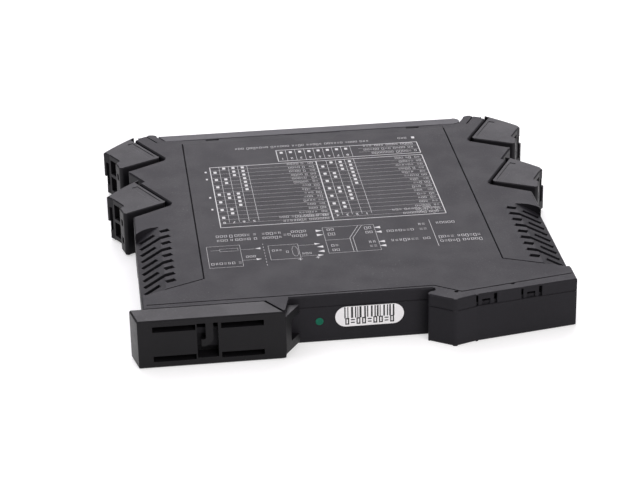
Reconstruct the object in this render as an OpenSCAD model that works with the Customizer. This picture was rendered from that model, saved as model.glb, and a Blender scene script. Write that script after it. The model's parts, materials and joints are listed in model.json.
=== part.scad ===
// Signal converter in a slim modular housing for a 35 mm top-hat rail, lying on its side.
// X runs along the height of the installed module, Y from the rail to the front flap and
// Z through the thickness. The parts are laid out from the plane that the rail flanges bear
// on, then moved so that the origin is in the middle of the lower side.

/* [Housing] */
// Thickness of the module, measured along the rail
module_t = 12.5; // [12.5:0.5:15]
// Length of the side face between its two long edges
side_len = 104.4; // [103:0.2:110]
// Distance from the rail seat to the front wall
front_y = 101.3; // [100:0.1:108]
// Wall thickness of both shells
wall = 1.2; // [1:0.05:1.4]
// Height of the joint between the two shells above the lower side
seam_z = 9.4; // [9.2:0.1:9.7]
// Chamfer along the rims of the side faces
rim_chamfer = 0.35; // [0.2:0.05:0.5]
// Chamfer on either side of the joint line
seam_chamfer = 0.2; // [0.05:0.05:0.3]
// Width of the narrow grooves that border the printed panel
groove_w = 0.35; // [0.2:0.05:0.5]
// Depth of those grooves
groove_d = 0.25; // [0.1:0.05:0.4]
// Clearance between fixed parts that plug into each other
fit_gap = 0.1; // [0.05:0.01:0.15]
// Height of the tongue on the base that enters the cover
lip_h = 0.8; // [0.6:0.1:1]
// Thickness of that tongue
lip_t = 0.5; // [0.4:0.05:0.6]

/* [Rail side] */
// Width of the rail
rail_w = 35; // [35:1:35]
// Thickness of the rail flange
rail_t = 1; // [1:0.1:1.5]
// Play left between the rail flange and the hooks
rail_play = 0.5; // [0.3:0.05:0.6]
// How far the fixed hook reaches behind the rail flange
hook_grip = 2.2; // [1.8:0.1:2.6]
// Depth of the fixed hook behind the rail seat
hook_depth = 7; // [6.6:0.1:7.4]
// Depth of the fixed hook where it meets the long edge
hook_end_depth = 0.7; // [0.5:0.1:1]
// Width of one snap tongue in the rim of the cover
snap_w = 4; // [3.6:0.1:4.4]
// Width of the slits on both sides of a snap tongue
snap_slit = 0.7; // [0.5:0.05:0.9]
// Distance between the two snap tongues along the hook
snap_pitch = 11.5; // [10.5:0.1:12.5]

/* [Rail foot] */
// Thickness of the sliding foot from its outer to its inner face
foot_depth = 6.4; // [6:0.1:6.6]
// Play between the foot and the wall it slides along
foot_gap = 0.2; // [0.15:0.05:0.3]
// How far the foot stands out beyond the long edge
foot_overhang = 3.2; // [2.2:0.1:4.2]
// Distance that the foot keeps from each side face
foot_side_gap = 0.05; // [0.05:0.05:0.2]
// How far the foot nose reaches behind the rail flange
foot_grip = 2.3; // [1.8:0.1:2.5]
// How far the foot can be pulled outwards
foot_travel = 3.5; // [3:0.1:4]
// Distance that the nose keeps from each side face
nose_side_gap = 1.3; // [1.3:0.1:2]
// Width of the neck of the guide rail on the base
guide_neck = 3; // [2.6:0.1:3.4]
// Width of the head of the guide rail
guide_head = 5; // [4.6:0.1:5.2]
// Thickness of the head of the guide rail
guide_head_t = 1.5; // [1.2:0.1:1.7]
// Play around the guide rail inside the foot
guide_gap = 0.2; // [0.12:0.01:0.25]
// Width of the spring arm that shows in the window of the foot
spring_w = 1.8; // [1.6:0.1:2]
// Thickness of that spring arm
spring_t = 1.2; // [1:0.1:1.3]

/* [Terminal plugs] */
// Chamfer along the rims of the plugs
plug_chamfer = 0.25; // [0.15:0.05:0.3]
// Angle by which the plugs lean outwards from the front
plug_tilt = 28.3; // [26:0.1:30]
// Distance between the front and the rear plug on one side
plug_pitch = 30; // [29:0.5:31]
// Distance between the two poles of a plug
pole_pitch = 5; // [5:0.02:5.08]
// Distance from the long edge of the housing to the inner corner of a plug
plug_inset = 9.1; // [8.8:0.1:9.4]
// Distance from the front wall back to the inner corner of the front plugs
plug_drop = 10.57; // [10.3:0.01:11]
// Width of a plug at its base, in the direction of the wires
plug_base_w = 12.9; // [12.6:0.1:13.2]
// Depth of the plug body where the wires enter
plug_wire_w = 10.3; // [10.1:0.1:10.5]
// Height of a plug at its inner edge, in the direction of the screws
plug_inner_h = 16.5; // [16.2:0.1:16.8]
// Height of a plug at its outer tip
plug_tip_h = 12.6; // [12.4:0.1:12.9]
// Radius of the curved screw side
plug_crown_r = 80; // [60:1:100]
// Gap between a plug and the inner wall of its pocket
plug_gap = 0.3; // [0.2:0.05:0.4]
// Gap below a plug at the inner end of its pocket
pocket_gap_in = 2.6; // [2.4:0.1:2.8]
// Gap below a plug at the mouth of its pocket
pocket_gap_out = 3.5; // [3.3:0.1:3.7]
// Width of the wire entries along the screw direction
entry_w = 3.5; // [3.2:0.1:3.7]
// Height of the wire entries through the thickness
entry_h = 4.1; // [3.8:0.1:4.2]
// Distance from the base of a plug to the middle of its wire entries
entry_s = 8.1; // [8:0.05:8.2]

/* [Screw clamps] */
// Radius of the clamp screw thread
screw_r = 1.25; // [1.2:0.05:1.3]
// Radius of the clamp screw head
screw_head_r = 1.9; // [1.8:0.05:1.95]
// Height of the clamp screw head
screw_head_h = 1; // [0.9:0.05:1.1]
// Width of the screwdriver slot
screw_slot = 0.6; // [0.5:0.05:0.7]
// Radial play of the thread in the clamp cage
thread_gap = 0.05; // [0.02:0.01:0.09]
// Radial play of the screw in the plug body
screw_gap = 0.08; // [0.04:0.01:0.1]
// How far a cage travels from open to closed
clamp_travel = 2.2; // [1.8:0.1:2.3]
// Width of a cage in the wire direction
cage_w = 4.2; // [3.8:0.1:4.4]
// Size of a cage through the thickness
cage_z = 3.7; // [3.6:0.05:3.8]
// Thickness of the cage bottom
cage_t = 0.6; // [0.5:0.05:0.7]
// Thickness of the tapped top of the cage
cage_top_t = 1; // [0.8:0.1:1.1]
// Thickness of the contact bar that the wire is pressed against
bar_t = 0.8; // [0.7:0.05:0.9]
// Width of the contact bar through the thickness
bar_z = 2; // [1.8:0.1:2.2]
// Side of the square header pins
pin_side = 0.8; // [0.7:0.05:0.9]

/* [Front flap] */
// Depth of the flap from its rear edge to its front face
flap_depth = 4.1; // [3.9:0.1:4.3]
// Thickness of the flap front and rims
flap_t = 1.1; // [0.9:0.1:1.3]
// Distance between the flap rims and the side faces
flap_side_gap = 0.3; // [0.2:0.1:0.6]
// Distance from the middle of the front to the flap hinge
hinge_x = 40.2; // [40:0.1:40.3]
// Distance from the front wall to the flap hinge
hinge_y = 2.6; // [2.5:0.05:2.7]
// Radius of the rounded hinge end
hinge_r = 1.95; // [1.9:0.01:1.98]
// Radius of the hinge pins
hinge_pin_r = 0.8; // [0.7:0.05:0.9]
// Radial play of the hinge pins
hinge_pin_gap = 0.05; // [0.02:0.01:0.09]

/* [Ventilation] */
// Width of one slot
slot_w = 1.5; // [1.2:0.05:1.6]
// Distance between neighbouring slots along the side
slot_pitch = 3.6; // [3.4:0.05:3.8]
// Number of slots in one field
slot_count = 9; // [7:1:9]
// Slope of the slots against the long axis
slot_angle = 24.5; // [20:0.5:28]
// Width of the sloped edge that carries the slot ends
bevel_w = 6.2; // [5.8:0.1:6.6]
// Drop of the sloped edge below the side face
bevel_drop = 2.3; // [2:0.1:2.4]

/* [Board and switches] */
// Thickness of the circuit board
board_t = 1; // [0.8:0.1:1.2]
// Height of the board above the base floor
board_lift = 0.3; // [0.3:0.05:0.5]
// Number of sliders on the switch
dip_count = 8; // [8:1:8]
// Distance between two sliders
dip_pitch = 2.54; // [2.5:0.01:2.54]
// Travel of one slider
dip_travel = 1.4; // [1.2:0.1:1.6]
// Side of a slider knob
dip_knob = 1.2; // [1.1:0.05:1.3]
// Play of a slider in its slot
dip_gap = 0.1; // [0.06:0.01:0.12]
// Radius of the status light
led_r = 1.5; // [1.4:0.05:1.6]

/* [Label] */
// Length of the label on the rail seat
label_len = 16.6; // [15:0.1:18]
// Height of that label
label_h = 5.3; // [5:0.1:5.5]
// Thickness of the label film
label_t = 0.1; // [0.1:0.05:0.2]
// Radius of the test dot
dot_r = 0.95; // [0.8:0.05:1.1]

/* [Hidden] */
$fn = 48;

// Colours
housing_colour = [0.22, 0.22, 0.23];
flap_colour = [0.26, 0.26, 0.29];
plug_colour = [0.2, 0.2, 0.21];
steel_colour = [0.72, 0.73, 0.75];
brass_colour = [0.78, 0.66, 0.36];
board_colour = [0.1, 0.32, 0.18];
ferrite_colour = [0.25, 0.25, 0.27];
winding_colour = [0.85, 0.66, 0.2];
part_colour = [0.12, 0.12, 0.13];
switch_colour = [0.75, 0.12, 0.1];
slider_colour = [0.93, 0.93, 0.9];
light_colour = [0.35, 0.8, 0.4];
paper_colour = [0.92, 0.92, 0.92];
dot_colour = [0.14, 0.5, 0.34];

// Overlap that lets a cut run clear of the face it starts on
over = 1;

// Main planes
half_len = side_len / 2;
mid_z = module_t / 2;
floor_z = wall;
roof_z = module_t - wall;

// Rail seat, fixed hook and guide wall
rail_half = rail_w / 2;
rail_slot = rail_t + rail_play;
rail_root_x = rail_half + fit_gap;
hook_tip_x = rail_half - hook_grip;
hook_lip_rise = 0.6;
hook_tip_y = -(rail_slot + 1.7);
hook_apex = [rail_root_x + 3.8, -hook_depth - 0.2];
hook_bend = [rail_root_x + 9.4, -hook_depth + 1.7];
hook_end = [half_len, -hook_end_depth];
guide_step = 0.6;
guide_step_x = -(rail_root_x + 1.3);

// Foot
foot_in_y = -(guide_step + foot_gap);
foot_out_y = foot_in_y - foot_depth;
foot_reach = half_len + foot_overhang;
foot_end_slant = 1.5;
foot_nose_x = -(rail_half - foot_grip);
foot_nose_y = -(rail_t + 0.3);
foot_nose_slant = 3.8;
foot_block_x = foot_nose_x - foot_nose_slant - 0.1;
foot_block_slant = 4.1;
tab_edge_x = foot_block_x + 0.25;
tab_right_x = -(rail_root_x + 0.1);
tab_t = nose_side_gap - 0.3;
guide_left = half_len - 2;
guide_right = rail_half + 6.5;
guide_head_y = foot_out_y + 2.3 + guide_gap;
window_left = -40;
window_right = -35;
window_low = 2;
window_high = module_t - 1.5;
spring_bend_r = 0.5;
spring_x = window_right - 1.1 - spring_w / 2;
spring_face = 0.5;
spring_nub = 1.9;

// Plug and pocket
wire_dir = [cos(plug_tilt), -sin(plug_tilt)];
screw_dir = [sin(plug_tilt), cos(plug_tilt)];
notch_w = 1.3;
notch_s = 14.1;
shoulder_w = 6.7;
shoulder_s = 15.1;
crown_s = plug_inner_h + 0.5;
plug_z0 = 0.3;
plug_tip_w = plug_wire_w + 0.5;

// Clamp, measured from the base of the plug
screw_w = 6;
bar_s = entry_s + entry_w / 2 - 0.85;
cage_open_s = bar_s + bar_t + fit_gap;
cage_in_h = 4.2;
cage_bottom_s = cage_open_s - cage_in_h - cage_t;
cage_closed_top_s = cage_open_s + cage_top_t + clamp_travel;
chamber_top_s = cage_closed_top_s + 0.1;
ledge_t = 0.7;
head_s = chamber_top_s + ledge_t;
contact_s = 2.4;
contact_w = 2;
pin_end_w = 5.2;
leg_w = [-6.6, -8.6];

// Flap
flap_hinge = [hinge_x, front_y + hinge_y];
flap_front = front_y + hinge_y + hinge_r;
flap_rear = flap_front - flap_depth;
flap_end_gap = 0.3;
knuckle_h = 3;
flap_mid_cut = hinge_r + 0.3;
lug_x = 28.2;
front_fall = 0.25;
scoop_fall = 0.4;

// Vent field
bevel_x = half_len - bevel_w;
bevel_far_r = bevel_w + 0.6;
bevel_far_y = 38;
bevel_near = [8.8, 6.3];
slot_row_x = half_len - 7.4;
slot_row_y = 42.3;
slot_in = half_len - 8.6;
slot_gap_in = half_len - 6.3;
slot_gap_out = half_len - 4.8;
slot_out = half_len - wall + 0.2;

// Board
board_z = floor_z + board_lift;
board_top = board_z + board_t;
board_half = half_len - plug_inset - 3.3;
board_rear = wall + 1.4;
board_front = front_y - wall - 0.5;
post_x = board_half - 6.8;
post_rows = [8, front_y - 15.3];
post_r = 2;
post_pin_r = 0.9;

// Plug sockets
socket_half = 1.5;
socket_top = mid_z + pole_pitch / 2 + 2;

// Transformer and capacitors
transformer_at = [-4, 40];
core_size = [14, 13, 4.4];
core_leg = 3.6;
core_yoke = 1.9;
core_z = board_top + 1.9;
cap_r = 3.2;
cap_len = 12;
cap_spots = [[12, 24], [12, 33], [-30, 24]];

// Switch
dip_len = dip_count * dip_pitch + 1.4;
dip_depth = 4.5;
dip_face_y = front_y - 0.1;
dip_top = board_top + 6.4;
dip_slot_z = board_top + 1.6;
dip_slot_deep = 1;

// Status light
led_x = 24;
led_z = mid_z;

// Printed panel
panel_x = 36.7;
panel_y = [13.3, 98.3];
scoop_y = 95.8;

function unit(v) = v / norm(v);
function reversed(p) = [for (i = [len(p) - 1:-1:0]) p[i]];
function mirrored(p) = [for (q = reversed(p)) [-q[0], q[1], q[2]]];

// One corner of an outline, replaced by an arc of radius r
function corner_arc(a, b, c, r, n = 4) =
    r == 0 ? [b] :
    let (u = unit(a - b), v = unit(c - b), half = acos(u * v) / 2,
         centre = b + unit(u + v) * r / sin(half),
         from = b + u * r / tan(half) - centre,
         to = b + v * r / tan(half) - centre,
         start = atan2(from[1], from[0]),
         turn = atan2(from[0] * to[1] - from[1] * to[0], from * to))
    [for (i = [0:n]) centre + r * [cos(start + turn * i / n), sin(start + turn * i / n)]];

// A closed outline from corners given as [x, y, radius]
function outline(p) =
    let (n = len(p), xy = [for (q = p) [q[0], q[1]]])
    [for (i = [0:n - 1]) each corner_arc(xy[(i + n - 1) % n], xy[i], xy[(i + 1) % n], p[i][2])];

// A counter-clockwise outline moved inwards by d, with mitred corners
function inset(p, d) =
    let (n = len(p))
    [for (i = [0:n - 1])
        let (u = unit(p[i] - p[(i + n - 1) % n]), v = unit(p[(i + 1) % n] - p[i]),
             a = [-u[1], u[0]], b = [-v[1], v[0]])
        p[i] + d * (a + b) / (1 + a * b)];

// The point at height x on the line through a and b
function at_x(a, b, x) = a + (b - a) * (x - a[0]) / (b[0] - a[0]);
function at_y(a, b, y) = a + (b - a) * (y - a[1]) / (b[1] - a[1]);
function rounded(v, r) = [v[0], v[1], r];

// Inner corner of the right-hand plug in row k, 0 at the front and 1 at the rear
function plug_corner(k) = [half_len - plug_inset, front_y - plug_drop - k * plug_pitch];
// A point given by its distances along the wire and screw directions of that plug
function plug_point(k, w, s) = plug_corner(k) + w * wire_dir + s * screw_dir;
// Mouth of the pocket at the long edge
function pocket_mouth(k) =
    at_x(plug_point(k, -plug_gap, -pocket_gap_in), plug_point(k, plug_base_w, -pocket_gap_out), half_len);
// Pocket from its inner corner up to the finger notch
function pocket_wall(k) = [
    rounded(pocket_mouth(k), 0.5),
    rounded(plug_point(k, -plug_gap, -pocket_gap_in), 0.7),
    rounded(plug_point(k, -plug_gap, notch_s), 0),
    rounded(plug_point(k, -plug_gap - notch_w, notch_s), 0)
];

// Long edge and front shoulder on the right, from rear to front
flank = concat(
    pocket_wall(1),
    [rounded(at_x(plug_point(1, -plug_gap - notch_w, 0), plug_point(1, -plug_gap - notch_w, 1), half_len),
             1.5)],
    pocket_wall(0),
    [rounded(plug_point(0, -plug_gap - notch_w, shoulder_s), 0.5),
     rounded(plug_point(0, -shoulder_w, shoulder_s - 0.1), 2),
     rounded(at_y(plug_point(0, -shoulder_w, 0), plug_point(0, -shoulder_w, 1), front_y), 0.3)]
);
hook = [
    [rail_root_x, 0, 0.3],
    [rail_root_x, -rail_slot, 0.4],
    [hook_tip_x + hook_lip_rise, -rail_slot - hook_lip_rise, 0.8],
    [hook_tip_x, hook_tip_y, 0.7],
    rounded(hook_apex, 1.6),
    rounded(hook_bend, 2),
    rounded(hook_end, 0.3)
];
guide_side = [
    [-half_len, -guide_step, 0.6],
    [guide_step_x, -guide_step, 0],
    [guide_step_x + guide_step, 0, 0]
];
body_outline = outline(concat(hook, flank, mirrored(flank), guide_side));

// Flat tab of each shell beside the foot, above and below the foot nose
function foot_edge(y) = tab_edge_x - foot_block_slant * (y - foot_out_y) / foot_depth;
foot_tab = [
    [tab_right_x, rim_chamfer + 0.05],
    [foot_edge(-guide_step), rim_chamfer + 0.05],
    [foot_edge(-guide_step), -guide_step],
    [foot_edge(foot_out_y + 1.1), foot_out_y + 1.1],
    [foot_edge(foot_out_y + 1.1) + 0.5, foot_out_y + 1.1],
    [tab_right_x, -guide_step]
];

frame_y = (max([for (q = body_outline) q[1]]) + foot_out_y) / 2;

// Simpler outline that the hollow inside is set in from
flank_core = [
    rounded(pocket_mouth(1), 0),
    rounded(plug_point(1, -plug_gap, -pocket_gap_in), 0),
    rounded(plug_point(1, -plug_gap, notch_s - 2), 0),
    rounded(plug_point(0, 4, -pocket_gap_in - 0.5), 0),
    rounded(plug_point(0, -plug_gap, -pocket_gap_in), 0),
    rounded(plug_point(0, -plug_gap, notch_s - 4.6), 0),
    [half_len - 7.4, front_y, 0]
];
hook_core = [
    [rail_root_x, 0, 0],
    [rail_root_x, hook_tip_y - 0.8, 0],
    rounded(hook_apex + [0.2, 0.6], 0),
    rounded(hook_bend, 0),
    rounded(hook_end, 0)
];
core_outline = outline(concat(hook_core, flank_core, mirrored(flank_core), [[-half_len, 0, 0]]));

// A prism between two heights on a plain outline
module prism(p, z0, z1) {
    translate([0, 0, z0]) linear_extrude(height = z1 - z0) polygon(p);
}

// How far a bar runs past corner i: a little beyond an outer corner, not quite to an inner one
function bar_end(p, i) =
    let (n = len(p), a = p[i] - p[(i + n - 1) % n], b = p[(i + 1) % n] - p[i])
    a[0] * b[1] - a[1] * b[0] > 0 ? 0.17 : -0.13;

// Bars that chamfer the long straight edges of an outline at height z, by c. The material is
// above them for side 1 and below them for side -1. Edge number skip stays sharp.
module edge_bars(p, z, c, side, shortest = 2.5, skip = -1) {
    reach = c / sqrt(2);
    margin = 0.25;
    for (i = [0:len(p) - 1]) {
        j = (i + 1) % len(p);
        run = p[j] - p[i];
        if (norm(run) > shortest && i != skip)
            translate([p[i][0], p[i][1], z])
                rotate([0, 0, atan2(run[1], run[0])]) rotate([45 * side, 0, 0])
                    block([-bar_end(p, i), -2 * margin, -reach - margin],
                          [norm(run) + bar_end(p, j), reach, reach + margin]);
    }
}

// A block between two corners
module block(a, b) {
    translate(a) cube(b - a);
}

// A shallow groove that follows a path on the upper side face
module groove(path) {
    for (i = [0:len(path) - 2]) {
        step = path[i + 1] - path[i];
        translate([path[i][0], path[i][1], module_t - groove_d])
            rotate([0, 0, atan2(step[1], step[0])])
                translate([-groove_w / 2, -groove_w / 2, 0])
                    cube([norm(step) + groove_w, groove_w, groove_d + over]);
    }
}

// Moves a finished part from the rail seat to the middle of the module
module placed() {
    translate([0, -frame_y, 0]) children();
}

// Copies for the right and the left side
module both_sides() {
    children();
    mirror([1, 0, 0]) children();
}

// The frame of plug p, with x along the wires and y along the screws. The plugs on the left
// are the same part as those on the right, turned over.
module at_plug(p) {
    corner = plug_corner(p % 2);
    if (p < 2)
        translate([corner[0], corner[1], 0]) rotate([0, 0, -plug_tilt]) children();
    else
        translate([0, 0, module_t]) rotate([0, 180, 0])
            translate([corner[0], corner[1], 0]) rotate([0, 0, -plug_tilt]) children();
}

// The same frame mirrored, for what stands on the board
module at_socket(p) {
    corner = plug_corner(p % 2);
    mirror([p < 2 ? 0 : 1, 0, 0])
        translate([corner[0], corner[1], 0]) rotate([0, 0, -plug_tilt]) children();
}

function pole_z(q) = mid_z + (q - 0.5) * pole_pitch;

// Wedge above the sloped edge, lowered by drop, on the right
module slope_wedge(drop) {
    far = half_len + 2;
    fall = bevel_drop / bevel_w;
    low = module_t - drop;
    rotate([90, 0, 0])
        translate([0, 0, -front_y])
            linear_extrude(height = front_y)
                polygon([[bevel_x, low], [far, low - fall * (far - bevel_x)],
                         [far, module_t + over], [bevel_x, module_t + over]]);
}

// What is cut from the upper rim for the sloped edge
module slope_cut() {
    intersection() {
        slope_wedge(0);
        union() {
            prism([[bevel_x, bevel_near[0]], [half_len + 2, bevel_near[1] - 0.8],
                   [half_len + 2, bevel_far_y], [bevel_x, bevel_far_y]], 0, module_t + over);
            translate([bevel_x, bevel_far_y, 0])
                intersection() {
                    cylinder(r = bevel_far_r, h = module_t + over);
                    cube([bevel_far_r, bevel_far_r, module_t + over]);
                }
        }
    }
}

// Wall that runs below the sloped edge
module slope_wall() {
    intersection() {
        slope_wedge(wall * 1.07);
        block([bevel_x, bevel_near[1] - wall, seam_z],
              [half_len - 0.3, bevel_far_y + bevel_far_r + wall, module_t - 0.3]);
    }
}

// One slot of a vent field between two distances from the middle
module slot(i, x0, x1) {
    translate([slot_row_x, slot_row_y - i * slot_pitch, seam_z + 0.3])
        rotate([0, 0, -slot_angle])
            translate([(x0 - slot_row_x) / cos(slot_angle), -slot_w / 2, 0])
                cube([(x1 - x0) / cos(slot_angle), slot_w, module_t]);
}

// Slots of one field: every second one is split by a web
module slot_field() {
    for (i = [0:slot_count - 1]) {
        if (i % 2 == 1) slot(i, slot_in, slot_out);
        if (i % 2 == 0) slot(i, slot_in, slot_gap_in);
        if (i % 2 == 0) slot(i, slot_gap_out, slot_out);
    }
}

// The frame of snap tongue k, on the rear face of the fixed hook
module at_snap(k) {
    along = unit(hook_end - hook_bend);
    place = hook_bend + along * (2.3 + k * snap_pitch);
    translate([place[0], place[1], 0])
        rotate([0, 0, atan2(along[1], along[0])]) children();
}

// Openings for the plug sockets in the pocket walls
module socket_openings() {
    for (p = [0:3])
        at_socket(p)
            block([-plug_gap - wall - 0.2, contact_s - socket_half - fit_gap, board_top - fit_gap],
                  [-plug_gap + 0.2, contact_s + socket_half + fit_gap, socket_top + fit_gap]);
}

// Window in the front wall for the switch
module dip_window() {
    block([-dip_len / 2 - fit_gap, front_y - wall - 0.2, board_top - fit_gap],
          [dip_len / 2 + fit_gap, front_y + 0.2, seam_z + over]);
}

// Guide rail for the foot, with a pocket that keeps the spring arm captive
module guide_rail() {
    neck_y = -guide_step + 0.2;
    difference() {
        union() {
            block([-guide_left, guide_head_y + guide_head_t - 0.2, mid_z - guide_neck / 2],
                  [-guide_right, neck_y, mid_z + guide_neck / 2]);
            block([-guide_left, guide_head_y, mid_z - guide_head / 2],
                  [-guide_right, guide_head_y + guide_head_t, mid_z + guide_head / 2]);
        }
        block([spring_x - 2.9 - foot_travel, guide_head_y - over, mid_z - guide_head / 2 - over],
              [spring_x - 0.1, guide_head_y + 0.8, mid_z + 0.9]);
    }
}

// Hinge lug on the front wall that carries the flap
module hinge_lug() {
    z0 = flap_side_gap + knuckle_h + fit_gap;
    z1 = module_t - z0;
    lug_r = hinge_r - 0.4;
    difference() {
        union() {
            translate([flap_hinge[0], flap_hinge[1], z0]) cylinder(r = lug_r, h = z1 - z0);
            block([flap_hinge[0] - lug_r, front_y - 0.3, z0], [flap_hinge[0] + lug_r, flap_hinge[1], z1]);
        }
        translate([flap_hinge[0], flap_hinge[1], z0 - over])
            cylinder(r = hinge_pin_r + hinge_pin_gap, h = z1 - z0 + 2 * over);
    }
}

// Lower shell: tub with the fixed hook, guide rail, board posts and hinge lug
module base_shell() {
    color(housing_colour) placed() {
        difference() {
            union() {
                difference() {
                    prism(body_outline, 0, seam_z);
                    prism(inset(core_outline, wall), floor_z, seam_z + over);
                }
                both_sides() translate([0, 0, module_t]) mirror([0, 0, 1]) slope_wall();
                for (x = [-post_x, post_x], y = post_rows) {
                    translate([x, y, floor_z - 0.2]) cylinder(r = post_r, h = board_lift + 0.2);
                    translate([x, y, floor_z]) cylinder(r = post_pin_r, h = board_lift + board_t + 0.6);
                }
                intersection() {
                    difference() {
                        prism(inset(core_outline, wall - lip_t), seam_z - 1, seam_z + lip_h);
                        prism(inset(core_outline, wall), seam_z - 1 - over, seam_z + lip_h + over);
                    }
                    block([-half_len + 9, -hook_depth, 0], [half_len - 9, front_y, module_t]);
                }
                for (k = [0:1])
                    at_snap(k)
                        block([-0.5, wall - lip_t - 0.1, seam_z + 0.4], [0.5, wall - 0.1, seam_z + lip_h - 0.1]);
                guide_rail();
                hinge_lug();
            }
            edge_bars(body_outline, 0, rim_chamfer, 1, skip = len(body_outline) - 3);
            edge_bars(body_outline, seam_z, seam_chamfer, -1);
            both_sides() translate([0, 0, module_t]) mirror([0, 0, 1]) slope_cut();
            both_sides() translate([0, 0, module_t]) mirror([0, 0, 1]) slot_field();
            socket_openings();
            dip_window();
            translate([led_x, front_y - 2 * wall, led_z]) rotate([-90, 0, 0])
                cylinder(r = led_r + fit_gap, h = 4 * wall);
        }
        prism(foot_tab, 0, tab_t);
    }
}

// Upper shell: cover with the printed panel, vents, snap tongues and flap recess
module cover_shell() {
    color(housing_colour) placed() {
        difference() {
            union() {
                difference() {
                    prism(body_outline, seam_z, module_t);
                    prism(inset(core_outline, wall), seam_z - over, roof_z);
                    prism(inset(core_outline, wall - lip_t - fit_gap), seam_z - over, seam_z + lip_h + fit_gap);
                }
                difference() {
                    both_sides() slope_wall();
                    block([-half_len, 0, seam_z - over], [half_len, front_y, seam_z]);
                }
                for (x = [-post_x, post_x], y = post_rows)
                    translate([x, y, board_top]) cylinder(r = post_r, h = roof_z - board_top + 0.2);
            }
            for (x = [-post_x, post_x], y = post_rows)
                translate([x, y, board_top - over]) cylinder(r = post_pin_r + fit_gap, h = 2 * over);
            edge_bars(body_outline, seam_z, seam_chamfer, 1);
            edge_bars(body_outline, module_t, rim_chamfer, -1, skip = len(body_outline) - 3);
            both_sides() slope_cut();
            both_sides() slot_field();
            socket_openings();
            for (k = [0:1])
                at_snap(k) snap_cut();
            front_wedge(panel_y[1], front_fall, [[-panel_x, front_y + 0.2], [-panel_x, panel_y[1]],
                                                 [panel_x, panel_y[1]], [panel_x, front_y + 0.2]]);
            front_wedge(scoop_y, scoop_fall, [[-8, front_y + 0.2], [-5, scoop_y],
                                              [5, scoop_y], [8, front_y + 0.2]]);
            for (x = [-lug_x, lug_x])
                block([x - 1.85, front_y - wall, module_t - 2.5], [x + 1.85, front_y + 0.2, module_t + over]);
            panel_grooves();
        }
        prism(foot_tab, module_t - tab_t, module_t);
    }
}

// A shallow wedge cut from the top, from depth 0 at y0 to the given fall at the front wall
module front_wedge(y0, fall, area) {
    intersection() {
        rotate([90, 0, 90])
            translate([0, 0, -panel_x])
                linear_extrude(height = 2 * panel_x)
                    polygon([[y0, module_t], [front_y + 0.2, module_t - fall],
                             [front_y + 0.2, module_t + over], [y0, module_t + over]]);
        prism(area, 0, module_t + over);
    }
}

// Slits, sunk face and catch window of one snap tongue
module snap_cut() {
    for (x = [-1, 1])
        block([x * (snap_w + snap_slit) / 2 - snap_slit / 2, -over, seam_z - over],
              [x * (snap_w + snap_slit) / 2 + snap_slit / 2, wall + 0.2, module_t - 0.3]);
    block([-snap_w / 2 - 0.1, -over, seam_z - over], [snap_w / 2 + 0.1, 0.35, module_t - 0.3]);
    block([-1.05, -over, seam_z - over], [1.05, wall + 0.2, seam_z + lip_h + 0.7]);
}

// Grooves round the printed panel, along the rear edge and on the front shoulders
module panel_grooves() {
    both_sides() {
        groove([[panel_x, panel_y[1]], [panel_x, panel_y[0]], [half_len - 1, panel_y[0] - 6.6]]);
        groove([plug_point(0, -4.15, 9), plug_point(0, -4.15, shoulder_s)]);
    }
    groove([[-half_len + 1.2, wall], [rail_root_x, wall], [rail_root_x + 6, hook_bend[1] + 2.3],
            [half_len - 0.7, hook_end[1] + 3.3]]);
    for (spot = [[rail_root_x + 4.7, hook_bend[1] + 2.4], [rail_root_x + 18.7, hook_bend[1] + 4.5]])
        translate([spot[0], spot[1], module_t - groove_d]) cylinder(r = 0.5, h = over);
}

// Sliding foot that locks the module on the rail
module rail_foot() {
    z0 = foot_side_gap;
    z1 = module_t - foot_side_gap;
    body = [[-foot_reach, foot_in_y], [-foot_reach + foot_end_slant, foot_out_y],
            [foot_block_x, foot_out_y], [foot_block_x - foot_block_slant, foot_in_y]];
    nose = [[foot_block_x - 6, foot_out_y], [foot_nose_x - foot_nose_slant, foot_out_y],
            [foot_nose_x, foot_nose_y], [foot_block_x - 6, foot_nose_y]];
    head_gap = guide_head / 2 + guide_gap;
    neck_gap = guide_neck / 2 + guide_gap;
    slot_left = -guide_left - guide_gap;
    color(housing_colour) placed()
        union() {
            difference() {
                union() {
                    prism(body, z0, z1);
                    prism(nose, nose_side_gap, module_t - nose_side_gap);
                }
                edge_bars(body, z0, rim_chamfer, 1, skip = 3);
                edge_bars(body, z1, rim_chamfer, -1, skip = 3);
                block([slot_left, guide_head_y - guide_gap, mid_z - head_gap],
                      [0, guide_head_y + guide_head_t + guide_gap, mid_z + head_gap]);
                block([slot_left, guide_head_y, mid_z - neck_gap], [0, over, mid_z + neck_gap]);
                block([-guide_right + over, guide_head_y, mid_z - head_gap], [0, over, mid_z + head_gap]);
                for (x = [-foot_reach + 5, -34.3], z = [window_low - 0.35, module_t - window_low - 1.1])
                    block([x, foot_out_y - over, z], [x + 10.1, foot_out_y + 3.8, z + 1.45]);
                block([window_left, foot_out_y - over, window_low],
                      [window_right, guide_head_y + guide_head_t, window_high]);
            }
            spring_arm();
        }
}

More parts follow.
